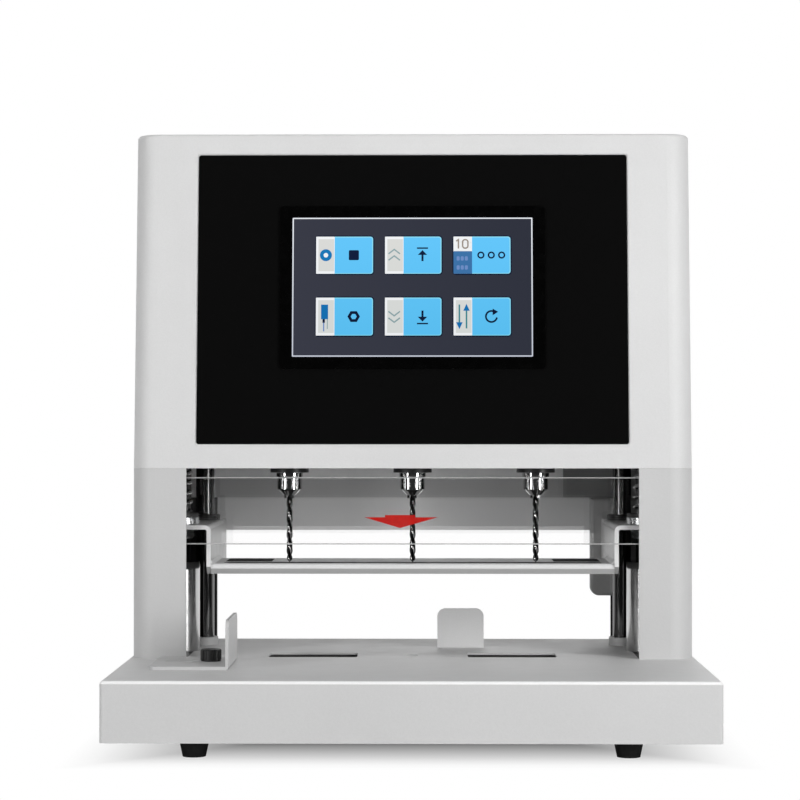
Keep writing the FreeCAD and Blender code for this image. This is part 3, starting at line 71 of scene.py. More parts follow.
def srgb(red, green, blue):
    """A colour written as the three numbers a picture editor shows, as the linear colour a shader takes."""
    out = []
    for value in (red, green, blue):
        value /= 255
        out.append(value / 12.92 if value <= 0.04045 else ((value + 0.055) / 1.055) ** 2.4)
    return (*out, 1.0)


def grey(value):
    return srgb(value, value, value)


# Node helpers

class Graph:
    """A material's node tree, with short ways to add and join nodes."""

    def __init__(self, name):
        self.material = bpy.data.materials.new(name)
        self.material.use_nodes = True
        self.tree = self.material.node_tree
        self.tree.nodes.clear()
        self.output = self.tree.nodes.new("ShaderNodeOutputMaterial")
        self.shader = self.tree.nodes.new("ShaderNodeBsdfPrincipled")
        self.join(self.shader.outputs[0], self.output.inputs[0])
        where = self.tree.nodes.new("ShaderNodeTexCoord").outputs
        self.place, self.facing = where["Object"], where["Normal"]

    def join(self, a, b):
        self.tree.links.new(a, b)

    def put(self, socket, value):
        """Sets a socket to a number or colour, or joins it to an output."""
        if isinstance(value, bpy.types.NodeSocket):
            self.join(value, socket)
        else:
            socket.default_value = value

    def stretch(self, x, y, z):
        """The object's coordinates scaled along each axis, for grain and brushing."""
        node = self.tree.nodes.new("ShaderNodeMapping")
        self.join(self.place, node.inputs["Vector"])
        node.inputs["Scale"].default_value = (x, y, z)
        return node.outputs[0]

    def noise(self, scale, detail=2.0, rough=0.5, at=None):
        node = self.tree.nodes.new("ShaderNodeTexNoise")
        self.join(self.place if at is None else at, node.inputs["Vector"])
        node.inputs["Scale"].default_value = scale
        node.inputs["Detail"].default_value = detail
        node.inputs["Roughness"].default_value = rough
        return node.outputs["Fac"]

    def cells(self, scale, at=None):
        node = self.tree.nodes.new("ShaderNodeTexVoronoi")
        self.join(self.place if at is None else at, node.inputs["Vector"])
        node.inputs["Scale"].default_value = scale
        return node.outputs["Distance"]

    def maths(self, operation, a, b=0.0, clamp=False):
        node = self.tree.nodes.new("ShaderNodeMath")
        node.operation = operation
        node.use_clamp = clamp
        self.put(node.inputs[0], a)
        self.put(node.inputs[1], b)
        return node.outputs[0]

    def ramp(self, value, low, high, to_low=0.0, to_high=1.0):
        node = self.tree.nodes.new("ShaderNodeMapRange")
        self.join(value, node.inputs["Value"])
        limits = {"From Min": low, "From Max": high, "To Min": to_low, "To Max": to_high}
        for name, number in limits.items():
            node.inputs[name].default_value = number
        return node.outputs[0]

    def mix(self, factor, a, b, blend="MIX"):
        node = self.tree.nodes.new("ShaderNodeMix")
        node.data_type = "RGBA"
        node.blend_type = blend
        self.put(node.inputs["Factor"], factor)
        self.put(node.inputs["A"], a)
        self.put(node.inputs["B"], b)
        return node.outputs["Result"]

    def split(self, at=None):
        node = self.tree.nodes.new("ShaderNodeSeparateXYZ")
        self.join(self.place if at is None else at, node.inputs[0])
        return node.outputs

    def bump(self, height, strength, distance, under=None):
        node = self.tree.nodes.new("ShaderNodeBump")
        self.join(height, node.inputs["Height"])
        node.inputs["Strength"].default_value = strength
        node.inputs["Distance"].default_value = distance
        if under is not None:
            self.join(under, node.inputs["Normal"])
        self.join(node.outputs[0], self.shader.inputs["Normal"])
        return node.outputs[0]

    def set(self, **sockets):
        names = {
            "colour": "Base Color", "metal": "Metallic", "rough": "Roughness", "ior": "IOR",
            "specular": "Specular IOR Level", "coat": "Coat Weight", "coat_rough": "Coat Roughness",
            "through": "Transmission Weight", "emission": "Emission Color", "glow": "Emission Strength",
            "alpha": "Alpha",
        }
        for key, value in sockets.items():
            self.put(self.shader.inputs[names[key]], value)
        return self


def shade(colour, factor):
    return (colour[0] * factor, colour[1] * factor, colour[2] * factor, 1.0)


def paint(name, colour, rough=0.5, specular=0.35, lit_tops=None, shaded_unders=None, highlight_bends=None, shaded_sides=None):
    """Powder coat: orange peel and faint blotches; faces that look other ways may have another tone, which
    is painted light and shade: lighter tops, a painted highlight on bends, painted shade on sides and
    undersides.
    """
    peel, soil = 0.35, 0.03
    g = Graph(name)
    broad = g.ramp(g.noise(7.0, 3.0), 0.3, 0.7)
    fine = g.ramp(g.noise(900.0, 2.0), 0.35, 0.65)
    tone = g.maths("ADD", g.maths("MULTIPLY", broad, 0.6), g.maths("MULTIPLY", fine, 0.4))
    sideways, _, level = g.split(g.facing)
    # Painted light and shade by facing: a highlight on rounded bends, shade on sideways faces, lighter tops
    # and shaded undersides.
    if highlight_bends is not None:
        share = g.maths("SUBTRACT", g.ramp(level, 0.1, 0.35), g.ramp(level, 0.9, 0.98), clamp=True)
        colour = g.mix(share, colour, highlight_bends)
    if shaded_sides is not None:
        colour = g.mix(g.ramp(g.maths("ABSOLUTE", sideways), 0.9, 0.99), colour, shaded_sides)
    for other, near, full in ((lit_tops, 0.93, 0.99), (shaded_unders, -0.2, -0.34)):
        if other is not None:
            colour = g.mix(g.ramp(level, near, full), colour, other)
    dark, light = (g.mix(1.0, colour, grey(k), "MULTIPLY") for k in (255 * (1 - soil), 255))
    gloss = g.ramp(g.noise(60.0, 3.0), 0.3, 0.7, rough - 0.05, rough + 0.06)
    g.set(colour=g.mix(tone, dark, light), rough=gloss, specular=specular)
    large = g.bump(g.noise(330.0, 2.0, 0.45), peel, 0.00022)
    g.bump(g.noise(1500.0, 2.0), peel * 0.35, 0.00006, under=large)
    return g.material


def baffle_light_and_shade(name):
    """The baffle behind the throat: lighter above a line as painted light, darker below it, and darker still
    at its right end as painted shade.
    """
    g = Graph(name)
    x, _, z = g.split()
    blotch = g.ramp(g.noise(25.0, 4.0), 0.3, 0.7, -0.08, 0.08)
    # Painted light: lighter above this height; painted shade: darker past this x at the right end.
    level = g.maths("ADD", g.ramp(z, 0.2062, 0.2068), blotch, clamp=True)
    side = g.ramp(x, 0.134, 0.1345)
    coat = g.mix(side, g.mix(level, grey(200), grey(255)), grey(150))
    g.set(colour=coat, rough=g.ramp(blotch, -0.08, 0.08, 0.5, 0.62), specular=0.2)
    g.bump(g.noise(700.0, 2.0), 0.25, 0.0001)
    return g.material


def steel(name, colour, rough, grain=(900.0, 900.0, 18.0), depth=0.25, spread=0.08, stain=0.10):
    """Turned, ground or brushed metal: lines along the grain, with a little uneven tarnish."""
    g = Graph(name)
    lines = g.noise(1.0, 4.0, 0.6, at=g.stretch(*grain))
    cloud = g.ramp(g.noise(45.0, 4.0, 0.6), 0.3, 0.75)
    g.set(
        colour=g.mix(cloud, shade(colour, 1 - stain), shade(colour, 1 + stain)), metal=1.0,
        rough=g.ramp(lines, 0.3, 0.7, max(0.02, rough - spread), rough + spread)
    )
    g.bump(lines, depth, 0.00004)
    return g.material


def plastic(name, colour, rough=0.5, texture=1500.0, depth=0.3, coat=0.0, specular=0.5):
    """Moulded plastic: fine spark texture with slightly uneven gloss."""
    wear = 0.15
    g = Graph(name)
    cloud = g.ramp(g.noise(30.0, 3.0), 0.3, 0.7)
    g.set(
        colour=g.mix(cloud, shade(colour, 1 - wear), shade(colour, 1 + wear)),
        rough=g.ramp(g.noise(120.0, 3.0), 0.3, 0.7, rough - 0.07, rough + 0.07), coat=coat, coat_rough=0.15,
        specular=specular
    )
    g.bump(g.noise(texture, 3.0), depth, 0.00005)
    return g.material


def rubber(name, colour):
    g = Graph(name)
    dust = g.ramp(g.noise(160.0, 5.0, 0.65), 0.45, 0.8)
    g.set(colour=g.mix(dust, colour, shade(colour, 1.9)), rough=g.ramp(dust, 0, 1, 0.72, 0.9), specular=0.3)
    g.bump(g.noise(900.0, 4.0), 0.4, 0.0001)
    return g.material


def gloss_panel(name, colour):
    """High-gloss black sheet: very slight waviness and faint dust in the gloss."""
    g = Graph(name)
    haze = g.ramp(g.noise(14.0, 4.0), 0.35, 0.75)
    dust = g.ramp(g.noise(1800.0, 1.0), 0.68, 0.8)
    g.set(
        colour=g.mix(dust, colour, shade(colour, 1.5)), rough=g.ramp(haze, 0, 1, 0.07, 0.13),
        specular=0.12
    )
    g.bump(g.noise(9.0, 2.0), 0.05, 0.0004)
    return g.material


def screen_glow(name, low, high):
    """The lit screen's ground: dark slate, a little lighter towards the right."""
    g = Graph(name)
    x = g.split()[0]
    across = g.ramp(x, -0.1, 0.1)
    dots = g.ramp(g.noise(2600.0, 1.0), 0.3, 0.7, 0.0, 0.12)
    level = g.maths("ADD", across, dots, clamp=True)
    g.set(
        colour=grey(8), rough=g.ramp(g.noise(20.0, 2.0), 0.3, 0.7, 0.1, 0.14), specular=0.2,
        emission=g.mix(level, low, high), glow=0.96
    )
    return g.material


def screen_ink(name, low, high):
    """A lit part of the screen's picture, with a soft run from one tone to another going up."""
    g = Graph(name)
    run = g.ramp(g.split()[2], 0.32, 0.42)
    dots = g.ramp(g.noise(2600.0, 1.0), 0.3, 0.7, -0.08, 0.08)
    g.set(
        colour=grey(6), rough=0.12, specular=0.2,
        emission=g.mix(g.maths("ADD", run, dots, clamp=True), low, high), glow=0.97
    )
    return g.material


def clear_sheet(name):
    """Clear acrylic: polished faces with a few hair scratches."""
    g = Graph(name)
    scratches = g.ramp(g.noise(1.0, 5.0, 0.7, at=g.stretch(30.0, 300.0, 900.0)), 0.66, 0.8)
    g.set(
        colour=(1.0, 1.0, 1.0, 1.0), through=1.0, ior=1.45, alpha=0.15,
        rough=g.ramp(scratches, 0, 1, 0.0, 0.02)
    )
    return g.material


def frosted_edge_highlight(name):
    """The saw-cut edge of clear acrylic, which looks like ground glass; its light grey is also a painted
    highlight along the edge.
    """
    g = Graph(name)
    grit = g.noise(1.0, 3.0, 0.6, at=g.stretch(400.0, 900.0, 900.0))
    g.set(colour=g.mix(grit, grey(205), grey(240)), rough=0.45, alpha=0.55)
    g.bump(grit, 0.2, 0.00005)
    return g.material


def fluted_steel(name, land, flute):
    """A twist bit: dark lands and bright flutes, told apart by the distance to the nearest axis; the two
    tones are partly the bit's finish and partly painted shade and painted highlight.
    """
    g = Graph(name)
    x, y, _ = g.split()
    pitch = drill_pitch * mm
    across = g.maths("MODULO", g.maths("ADD", x, 3.5 * pitch), pitch)
    across = g.maths("SUBTRACT", across, 0.5 * pitch)
    along = g.maths("SUBTRACT", y, drill_y * mm)
    square = g.maths("ADD", g.maths("MULTIPLY", across, across), g.maths("MULTIPLY", along, along))
    outer = g.ramp(g.maths("SQRT", square), 0.0015, 0.0018)
    grain = g.noise(1.0, 3.0, 0.6, at=g.stretch(700.0, 700.0, 200.0))
    g.set(
        colour=g.mix(outer, flute, land), metal=1.0, rough=g.ramp(grain, 0.3, 0.7, 0.1, 0.18)
    )
    g.bump(grain, 0.04, 0.00004)
    return g.material


def iron(name, colour):
    g = Graph(name)
    grit = g.noise(420.0, 6.0, 0.7)
    rust = g.ramp(g.noise(22.0, 4.0), 0.55, 0.8)
    g.set(
        colour=g.mix(rust, colour, shade(colour, 0.7)), metal=0.4,
        rough=g.ramp(grit, 0.3, 0.7, 0.5, 0.75)
    )
    g.bump(grit, 0.5, 0.0002)
    return g.material


def lacquer(name, colour):
    """A circuit board: solder-resist green with tracks as faint relief."""
    g = Graph(name)
    tracks = g.ramp(g.cells(180.0, at=g.stretch(1.0, 1.0, 0.4)), 0.02, 0.06)
    g.set(colour=g.mix(tracks, shade(colour, 1.7), colour), rough=0.3, coat=0.4, coat_rough=0.12)
    g.bump(tracks, 0.3, 0.0001)
    return g.material


finishes = {
    # Copies of one light-grey powder coat whose tones differ as painted light and shade: darker on the
    # columns, side stop and base, lighter on the clamp.
    "paint_light": paint("paint_light", grey(222)),
    "paint_column_shaded": paint("paint_column_shaded", grey(207)),
    "paint_base_light_and_shade": paint("paint_base_light_and_shade", grey(211), lit_tops=grey(222), specular=0.3, highlight_bends=grey(255)),
    "paint_clamp_light_and_shade": paint(
        "paint_clamp_light_and_shade", grey(236), rough=0.38, specular=0.6, shaded_unders=grey(178), shaded_sides=grey(190)
    ),
    "paint_inside_light_and_shade": baffle_light_and_shade("paint_inside_light_and_shade"),
    # The rear cover's paint is lighter than the rest as painted light, against the shade it stands in.
    "paint_rear": paint("paint_rear", grey(250)),
    "paint_black": paint("paint_black", grey(46), specular=0.3),
    "bed_iron": iron("bed_iron", grey(110)),
    "foot_rubber": rubber("foot_rubber", grey(34)),
    "pad_rubber": rubber("pad_rubber", grey(38)),
    "nylon_grey": plastic("nylon_grey", grey(188), 0.45, 700.0),
    "panel_gloss": gloss_panel("panel_gloss", grey(12)),
    "bezel_black": plastic("bezel_black", grey(3), 0.25, 1200.0, 0.02, specular=0.1),
    "screen": screen_glow("screen", srgb(57, 59, 71), srgb(47, 50, 62)),
    "rod_steel": steel("rod_steel", grey(92), 0.08, (60.0, 60.0, 1600.0), 0.02, 0.02, 0.03),
    "tube_steel": steel("tube_steel", grey(190), 0.18, (60.0, 60.0, 900.0), 0.04, 0.04),
    "spring_steel": steel("spring_steel", grey(170), 0.2, (900.0, 900.0, 60.0), 0.1),
    "nut_steel": steel("nut_steel", srgb(205, 207, 208), 0.24, (120.0, 120.0, 900.0), 0.25),
    "plastic_black": plastic("plastic_black", grey(28), 0.42),
    "guide_black": plastic("guide_black", grey(34), 0.5),
    "terminal_grey": plastic("terminal_grey", grey(172), 0.5, 900.0),
    "inlet_black": plastic("inlet_black", grey(30), 0.45),
    "rocker_black": plastic("rocker_black", grey(28), 0.25, 800.0, 0.1, 0.3),
    "acrylic": clear_sheet("acrylic"),
    "acrylic_edge": frosted_edge_highlight("acrylic_edge"),
    "chuck_steel": steel("chuck_steel", grey(190), 0.07, (120.0, 120.0, 1200.0), 0.04, 0.03, 0.05),
    "bit_steel": fluted_steel("bit_steel", grey(22), grey(190)),
    "machined": steel("machined", grey(190), 0.35, (30.0, 900.0, 900.0), 0.25),
    "housing_black": plastic("housing_black", grey(40), 0.4, 1200.0, 0.2),
    "motor_steel": steel("motor_steel", grey(95), 0.35, (60.0, 60.0, 900.0), 0.2),
    "bronze": steel("bronze", srgb(196, 165, 110), 0.3),
    "laser_brass": steel("laser_brass", srgb(205, 180, 120), 0.25),
    "cage_steel": steel("cage_steel", grey(180), 0.4, (20.0, 900.0, 900.0), 0.2),
    "board_green": lacquer("board_green", srgb(38, 98, 62)),
    "screw_steel": steel("screw_steel", grey(190), 0.28, (400.0, 400.0, 400.0), 0.2),
}

# Nodes whose paint is a lit or shaded copy, used instead of the paint named in the model.
lit_and_shaded_paints = {
    "base_cover": "paint_base_light_and_shade", "column_left": "paint_column_shaded", "column_right": "paint_column_shaded",
    "clamp_plate": "paint_clamp_light_and_shade", "clamp_bracket_left": "paint_clamp_light_and_shade", "clamp_bracket_right": "paint_clamp_light_and_shade",
    "side_stop": "paint_column_shaded", "inner_baffle": "paint_inside_light_and_shade",
}
for name, node in nodes.items():
    for slot in node.material_slots:
        slot.material = finishes[lit_and_shaded_paints.get(name, slot.material.name.split(".")[0])]


# Mesh helpers

def smooth(mesh, angle=35.0):
    """Rounds the shading, but keeps edges that are sharper than the angle."""
    limit = math.radians(angle)
    work = bmesh.new()
    work.from_mesh(mesh)
    bmesh.ops.recalc_face_normals(work, faces=work.faces)
    for face in work.faces:
        face.smooth = True
    for edge in work.edges:
        edge.smooth = len(edge.link_faces) == 2 and edge.calc_face_angle(0.0) < limit
    work.to_mesh(mesh)
    work.free()


def piece(name, points, faces, body, finish, angle=35.0):
    """A new piece from its points, in metres, and its faces; it rides on a body."""
    mesh = bpy.data.meshes.new(name)
    mesh.from_pydata([tuple(p) for p in points], [], faces)
    mesh.validate()
    smooth(mesh, angle)
    mesh.materials.append(finishes[finish] if isinstance(finish, str) else finish)
    thing = bpy.data.objects.new(name, mesh)
    scene.collection.objects.link(thing)
    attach(thing, body)
    return thing


def tube_faces(rings, around):
    """Faces that join rings of points, with flat ends."""
    faces = []
    for i in range(rings - 1):
        for j in range(around):
            k = (j + 1) % around
            faces.append((i * around + j, i * around + k, (i + 1) * around + k, (i + 1) * around + j))
    faces.append(tuple(reversed(range(around))))
    faces.append(tuple(range((rings - 1) * around, rings * around)))
    return faces


# The leaning face of the head: a place on it is across, up the face and outwards

face_foot = Vector((0, -10.0, 219.0))
lean = math.atan2(279.0, 26.0)
up_face = Vector((0, math.cos(lean), math.sin(lean)))
off_face = Vector((0, -math.sin(lean), math.cos(lean)))
glass_top, ink_thickness = 2.1, 0.03


def on_face(across, up, off):
    return (face_foot + Vector((across, 0, 0)) + up_face * up + off_face * off) * mm


class Flat:
    """Thin shapes on the leaning face, gathered into one mesh."""

    def __init__(self):
        self.points, self.faces = [], []

    def shape(self, outline, low, high):
        """A flat shape with an outline of (across, up) points, all round it to the left."""
        start, count = len(self.points), len(outline)
        for off in (low, high):
            self.points += [on_face(x, up, off) for x, up in outline]
        self.faces.append(tuple(start + i for i in reversed(range(count))))
        self.faces.append(tuple(start + count + i for i in range(count)))
        for i in range(count):
            k = (i + 1) % count
            self.faces.append((start + i, start + k, start + count + k, start + count + i))

    def band(self, outer, inner, low, high):
        """A closed band between two outlines with as many points."""
        count = len(outer)
        for i in range(count):
            k = (i + 1) % count
            self.shape([outer[i], outer[k], inner[k], inner[i]], low, high)

    def stroke(self, line, width, low, high):
        """A line of a given width with square ends and mitred corners."""
        left, right = [], []
        for i, (x, up) in enumerate(line):
            before = line[max(0, i - 1)]
            after = line[min(len(line) - 1, i + 1)]
            a = Vector((x - before[0], up - before[1])) if i else None
            b = Vector((after[0] - x, after[1] - up)) if i < len(line) - 1 else None
            a, b = (a or b).normalized(), (b or a).normalized()
            across = Vector((-(a + b).y, (a + b).x)).normalized()
            reach = width / 2 / max(0.3, across.dot(Vector((-a.y, a.x))))
            left.append((x + across.x * reach, up + across.y * reach))
            right.append((x - across.x * reach, up - across.y * reach))
        for i in range(len(line) - 1):
            self.shape([right[i], right[i + 1], left[i + 1], left[i]], low, high)

    def done(self, name, finish):
        thing = piece(name, self.points, self.faces, "frame", finish, 20.0)
        return thing


def corner_box(left, right, low, high, radius, steps=6):
    """A rectangle's outline with rounded corners."""
    outline = []
    for cx, cy, start in (
        (right - radius, high - radius, 0), (left + radius, high - radius, 90),
        (left + radius, low + radius, 180), (right - radius, low + radius, 270)
    ):
        for i in range(steps + 1):
            a = math.radians(start + 90 * i / steps)
            outline.append((cx + radius * math.cos(a), cy + radius * math.sin(a)))
    return outline


def circle(x, up, radius, steps=32):
    return [
        (x + radius * math.cos(2 * math.pi * i / steps), up + radius * math.sin(2 * math.pi * i / steps))
        for i in range(steps)
    ]


def arc(x, up, radius, start, end, steps=24):
    """Points on a circle from one angle to another, in degrees."""
    out = []
    for i in range(steps + 1):
        a = math.radians(start + (end - start) * i / steps)
        out.append((x + radius * math.cos(a), up + radius * math.sin(a)))
    return out


# The screen's picture: a thin frame and six buttons, each with a pale end for its symbol

inks = {
    "frame": screen_ink("ink_frame", srgb(205, 210, 222), srgb(236, 240, 246)),
    "shadow": screen_ink("ink_shadow", srgb(16, 26, 46), srgb(22, 32, 54)),
    "white": screen_ink("ink_white", srgb(238, 240, 243), srgb(246, 248, 250)),
    "pale": screen_ink("ink_pale", srgb(212, 216, 214), srgb(222, 222, 219)),
    "sky": screen_ink("ink_sky", srgb(128, 214, 240), srgb(150, 226, 250)),
    "blue": screen_ink("ink_blue", srgb(88, 190, 240), srgb(102, 202, 255)),
    "deep": screen_ink("ink_deep", srgb(14, 104, 172), srgb(24, 124, 188)),
    "teal": screen_ink("ink_teal", srgb(58, 128, 138), srgb(72, 142, 150)),
    "mist": screen_ink("ink_mist", srgb(132, 158, 162), srgb(146, 170, 174)),
    "slate": screen_ink("ink_slate", srgb(54, 106, 160), srgb(64, 118, 172)),
    "lilac": screen_ink("ink_lilac", srgb(100, 134, 192), srgb(116, 146, 200)),
    "taupe": screen_ink("ink_taupe", srgb(138, 126, 118), srgb(156, 144, 134)),
    "navy": screen_ink("ink_navy", srgb(8, 20, 50), srgb(14, 30, 64)),
}
layers = {}


def ink(colour, level):
    """The mesh that gathers one colour's shapes at one level above the glass."""
    low, high = (glass_top + ink_thickness * step for step in (level, level + 1))
    return layers.setdefault((colour, level), (Flat(), low, high))


def fill(colour, level, outline):
    """Adds a filled shape to the picture."""
    flat, low, high = ink(colour, level)
    flat.shape(outline, low, high)


def ring(colour, level, outer, inner):
    """Adds a closed band to the picture."""
    flat, low, high = ink(colour, level)
    flat.band(outer, inner, low, high)


def line(colour, level, points, width):
    """Adds a line to the picture."""
    flat, low, high = ink(colour, level)
    flat.stroke(points, width, low, high)


def block(x0, x1, low, high):
    return [(x0, low), (x1, low), (x1, high), (x0, high)]


screen_low, screen_high, screen_half = 92.1, 209.1, 100.0
ring(
    "frame", 0,
    corner_box(-screen_half + 0.3, screen_half - 0.3, screen_low + 0.3, screen_high - 0.3, 0.8),
    corner_box(-screen_half + 1.3, screen_half - 1.3, screen_low + 1.3, screen_high - 1.3, 0.4)
)

button_columns = [(-80.0, -32.7), (-22.8, 24.1), (34.1, 81.4)]
button_rows = [(161.7, 192.9), (110.0, 141.7)]
symbol_width = 15.4


def clipped(outline, x0, x1):
    return [(min(max(x, x0), x1), up) for x, up in outline]


for low, high in button_rows:
    for left, right in button_columns:
        split = left + symbol_width
        shadow = corner_box(left - 0.9, right + 1.0, low - 1.1, high + 0.9, 3.0)
        whole = corner_box(left, right, low, high, 2.2)
        inner = corner_box(left, right - 0.8, low + 0.6, high - 0.8, 1.7)
        fill("shadow", 0, shadow)
        fill("sky", 1, clipped(whole, split, right))
        fill("blue", 2, clipped(inner, split, right))
        fill("white", 1, corner_box(left, split, low, high, 0.4, 2))
        fill("pale", 2, block(left + 1.9, split - 0.5, low + 2.1, high - 2.1))


def centre_of(column, row):
    low, high = button_rows[row]
    return button_columns[column][0] + symbol_width / 2, (low + high) / 2


x, up = centre_of(0, 0)
ring("deep", 3, circle(x + 0.4, up, 5.0), circle(x + 0.4, up, 1.9))
fill("white", 3, circle(x + 0.4, up, 1.9))
for row, way in ((0, 1), (1, -1)):
    x, up = centre_of(1, row)
    for tip in (up - way * 0.6, up + way * 4.8):
        line("mist", 3, [(x - 4.8, tip - way * 3.7), (x, tip), (x + 4.8, tip - way * 3.7)], 1.15)
x, up = centre_of(0, 1)
fill("deep", 3, block(x - 3.4, x + 2.4, up - 2.2, up + 10.0))
fill("navy", 3, block(x - 2.2, x - 0.2, up - 5.2, up - 2.2))
line("lilac", 3, [(x - 1.2, up - 5.2), (x - 1.2, up - 12.4)], 1.0)
line("mist", 3, [(x + 1.8, up - 2.2), (x + 1.8, up - 10.4)], 0.7)
x, up = centre_of(2, 1)
for side, way in ((-2.9, -1), (3.0, 1)):
    line("teal", 3, [(x + side, up - way * 10.0), (x + side, up + way * 5.2)], 1.3)
    tip = [(x + side - 2.7, up + way * 4.8), (x + side + 2.7, up + way * 4.8), (x + side, up + way * 10.6)]
    fill("deep", 3, tip if way > 0 else tip[::-1])
left, (low, high) = button_columns[2][0], button_rows[0]
ten = high - 6.2
fill("white", 2, block(left + 0.4, left + symbol_width, low + 18.9, high - 0.4))
line("taupe", 3, [(left + 2.2, ten + 2.4), (left + 4.1, ten + 3.6), (left + 4.1, ten - 3.9)], 1.2)
ring(
    "taupe", 3, corner_box(left + 7.0, left + 12.6, ten - 4.2, ten + 4.2, 2.7),
    corner_box(left + 8.2, left + 11.4, ten - 3.0, ten + 3.0, 1.5)
)
fill("slate", 3, corner_box(left, left + symbol_width, low, low + 18.9, 0.4, 2))
for row_low in (low + 3.4, low + 11.0):
    for k in range(3):
        start = left + 2.6 + 3.4 * k
        fill("lilac", 4, corner_box(start, start + 2.5, row_low, row_low + 3.6, 0.8, 3))

# Plain marks stand in the wide blue fields
fields = (
    [(left + symbol_width + right) / 2 for left, right in button_columns],
    [(low + high) / 2 for low, high in button_rows]
)
x, up = fields[0][0], fields[1][0]
fill("navy", 3, corner_box(x - 4.2, x + 4.2, up - 4.2, up + 4.2, 1.0))
for row, way in ((0, 1), (1, -1)):
    x, up = fields[0][1], fields[1][row]
    line("navy", 3, [(x, up - way * 5.0), (x, up + way * 0.8)], 1.7)
    tip = [(x - 3.9, up + way * 0.2), (x + 3.9, up + way * 0.2), (x, up + way * 4.2)]
    fill("navy", 3, tip if way > 0 else tip[::-1])
    line("navy", 3, [(x - 4.6, up + way * 5.9), (x + 4.6, up + way * 5.9)], 1.2)
x, up = fields[0][2], fields[1][0]
for k in (-1, 0, 1):
    ring("navy", 3, circle(x + 8.6 * k, up, 3.0, 24), circle(x + 8.6 * k, up, 1.7, 24))
x, up = fields[0][0], fields[1][1]
nut = [(x + 5.2 * math.cos(math.pi * k / 3), up + 5.2 * math.sin(math.pi * k / 3)) for k in range(6)]
hole = [(x + 2.5 * math.cos(math.pi * k / 3), up + 2.5 * math.sin(math.pi * k / 3)) for k in range(6)]
ring("navy", 3, nut, hole)
x, up = fields[0][2], fields[1][1]
line("navy", 3, arc(x, up, 4.6, 60, 350), 1.5)
fill("navy", 3, [(x + 1.0, up + 6.6), (x + 1.0, up + 1.0), (x + 5.6, up + 3.9)])

for (colour, level), (flat, low, high) in layers.items():
    flat.done(f"screen_{colour}_{level}", inks[colour])


# Springs: round wire on its real helix, drawn at one length; the real spring shortens as the head goes down

def spring(name, side):
    low, height, turns, wire = 180.8, 56.2, 6.5, 1.4
    radius = 8.7 - wire
    around, per_turn = 12, 40
    steps = int(turns * per_turn)
    points = []
    for i in range(steps + 1):
        share = i / steps
        angle = 2 * math.pi * turns * share
        z = low + wire + (height - 2 * wire) * share
        x, y = side * clamp_rod_x + radius * math.cos(angle), drill_y + radius * math.sin(angle)
        centre = Vector((x, y, z))
        out = Vector((math.cos(angle), math.sin(angle), 0))
        for j in range(around):
            b = 2 * math.pi * j / around
            points.append((centre + out * (wire * math.cos(b)) + Vector((0, 0, wire * math.sin(b)))) * mm)
    thing = piece(name, points, tube_faces(steps + 1, around), "clamp", "spring_steel")
    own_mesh(thing)
    return thing


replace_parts(spring("spring_left", -1), "clamp_springs")
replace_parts(spring("spring_right", 1), "clamp_springs")


# Twist bits: ground flutes, narrow margins and a split point

bit_low, bit_high = 139.9, 190.0
bit_radius, bit_pitch, bit_point = 2.5, 26.0, 2.4
bit_shank, bit_end = 0.96 * bit_radius, 206.0


def bit_section(turn, scale):
    """One cross-section: two lands with a raised margin, and two hollow flutes."""
    points = []
    for half in (0, math.pi):
        land = [(-0.72, 1.0), (-0.60, 1.0), (-0.56, 0.955), (-0.2, 0.95), (0.2, 0.95), (0.62, 0.95)]
        for i in range(9):
            t = i / 8
            land.append((0.72 + 1.62 * t, 0.93 - 0.53 * math.sin(math.pi * min(1.0, t * 1.08)) ** 0.8))
        for angle, radius in land:
            a = half + angle + turn
            r = radius * scale * bit_radius
            points.append((r * math.cos(a), r * math.sin(a)))
    return points


def bit_turn(z):
    """How far the flutes have turned at a height, right-handed."""
    return -2 * math.pi * (z - bit_low) / bit_pitch


def twist_bit(name, x, body):
    """A bit from its point to its plain shank, whose end is inside the chuck."""
    around = len(bit_section(0, 1))
    points, rings = [], 0
    cone_top = bit_low + bit_point
    for z, scale in ((bit_low, 0.06), (bit_low + 0.5, 0.26), (bit_low + 1.4, 0.62)):
        points += [(x + a, drill_y + b, z) for a, b in bit_section(bit_turn(z), scale)]
        rings += 1
    length = bit_high - cone_top
    steps = int(length / bit_pitch * 44)
    for i in range(steps + 1):
        z = cone_top + length * i / steps
        points += [(x + a, drill_y + b, z) for a, b in bit_section(bit_turn(z), 1)]
        rings += 1
    for z, grow in ((bit_high + 1.6, 0.5), (bit_high + 3.0, 1.0), (bit_end, 1.0)):
        for a, b in bit_section(bit_turn(z), 1):
            r = math.hypot(a, b)
            k = (r + (bit_shank - r) * grow) / r
            points.append((x + a * k, drill_y + b * k, z))
        rings += 1
    points = [Vector(p) * mm for p in points]
    return piece(name, points, tube_faces(rings, around), body, "bit_steel", 38.0)


for side, x in (("left", -drill_pitch), ("centre", 0.0), ("right", drill_pitch)):
    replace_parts(twist_bit(f"twist_bit_{side}", x, f"spindle_{side}"), f"{side}_bit")


# The guard strip's plain arrow, printed on its front in see-through ink

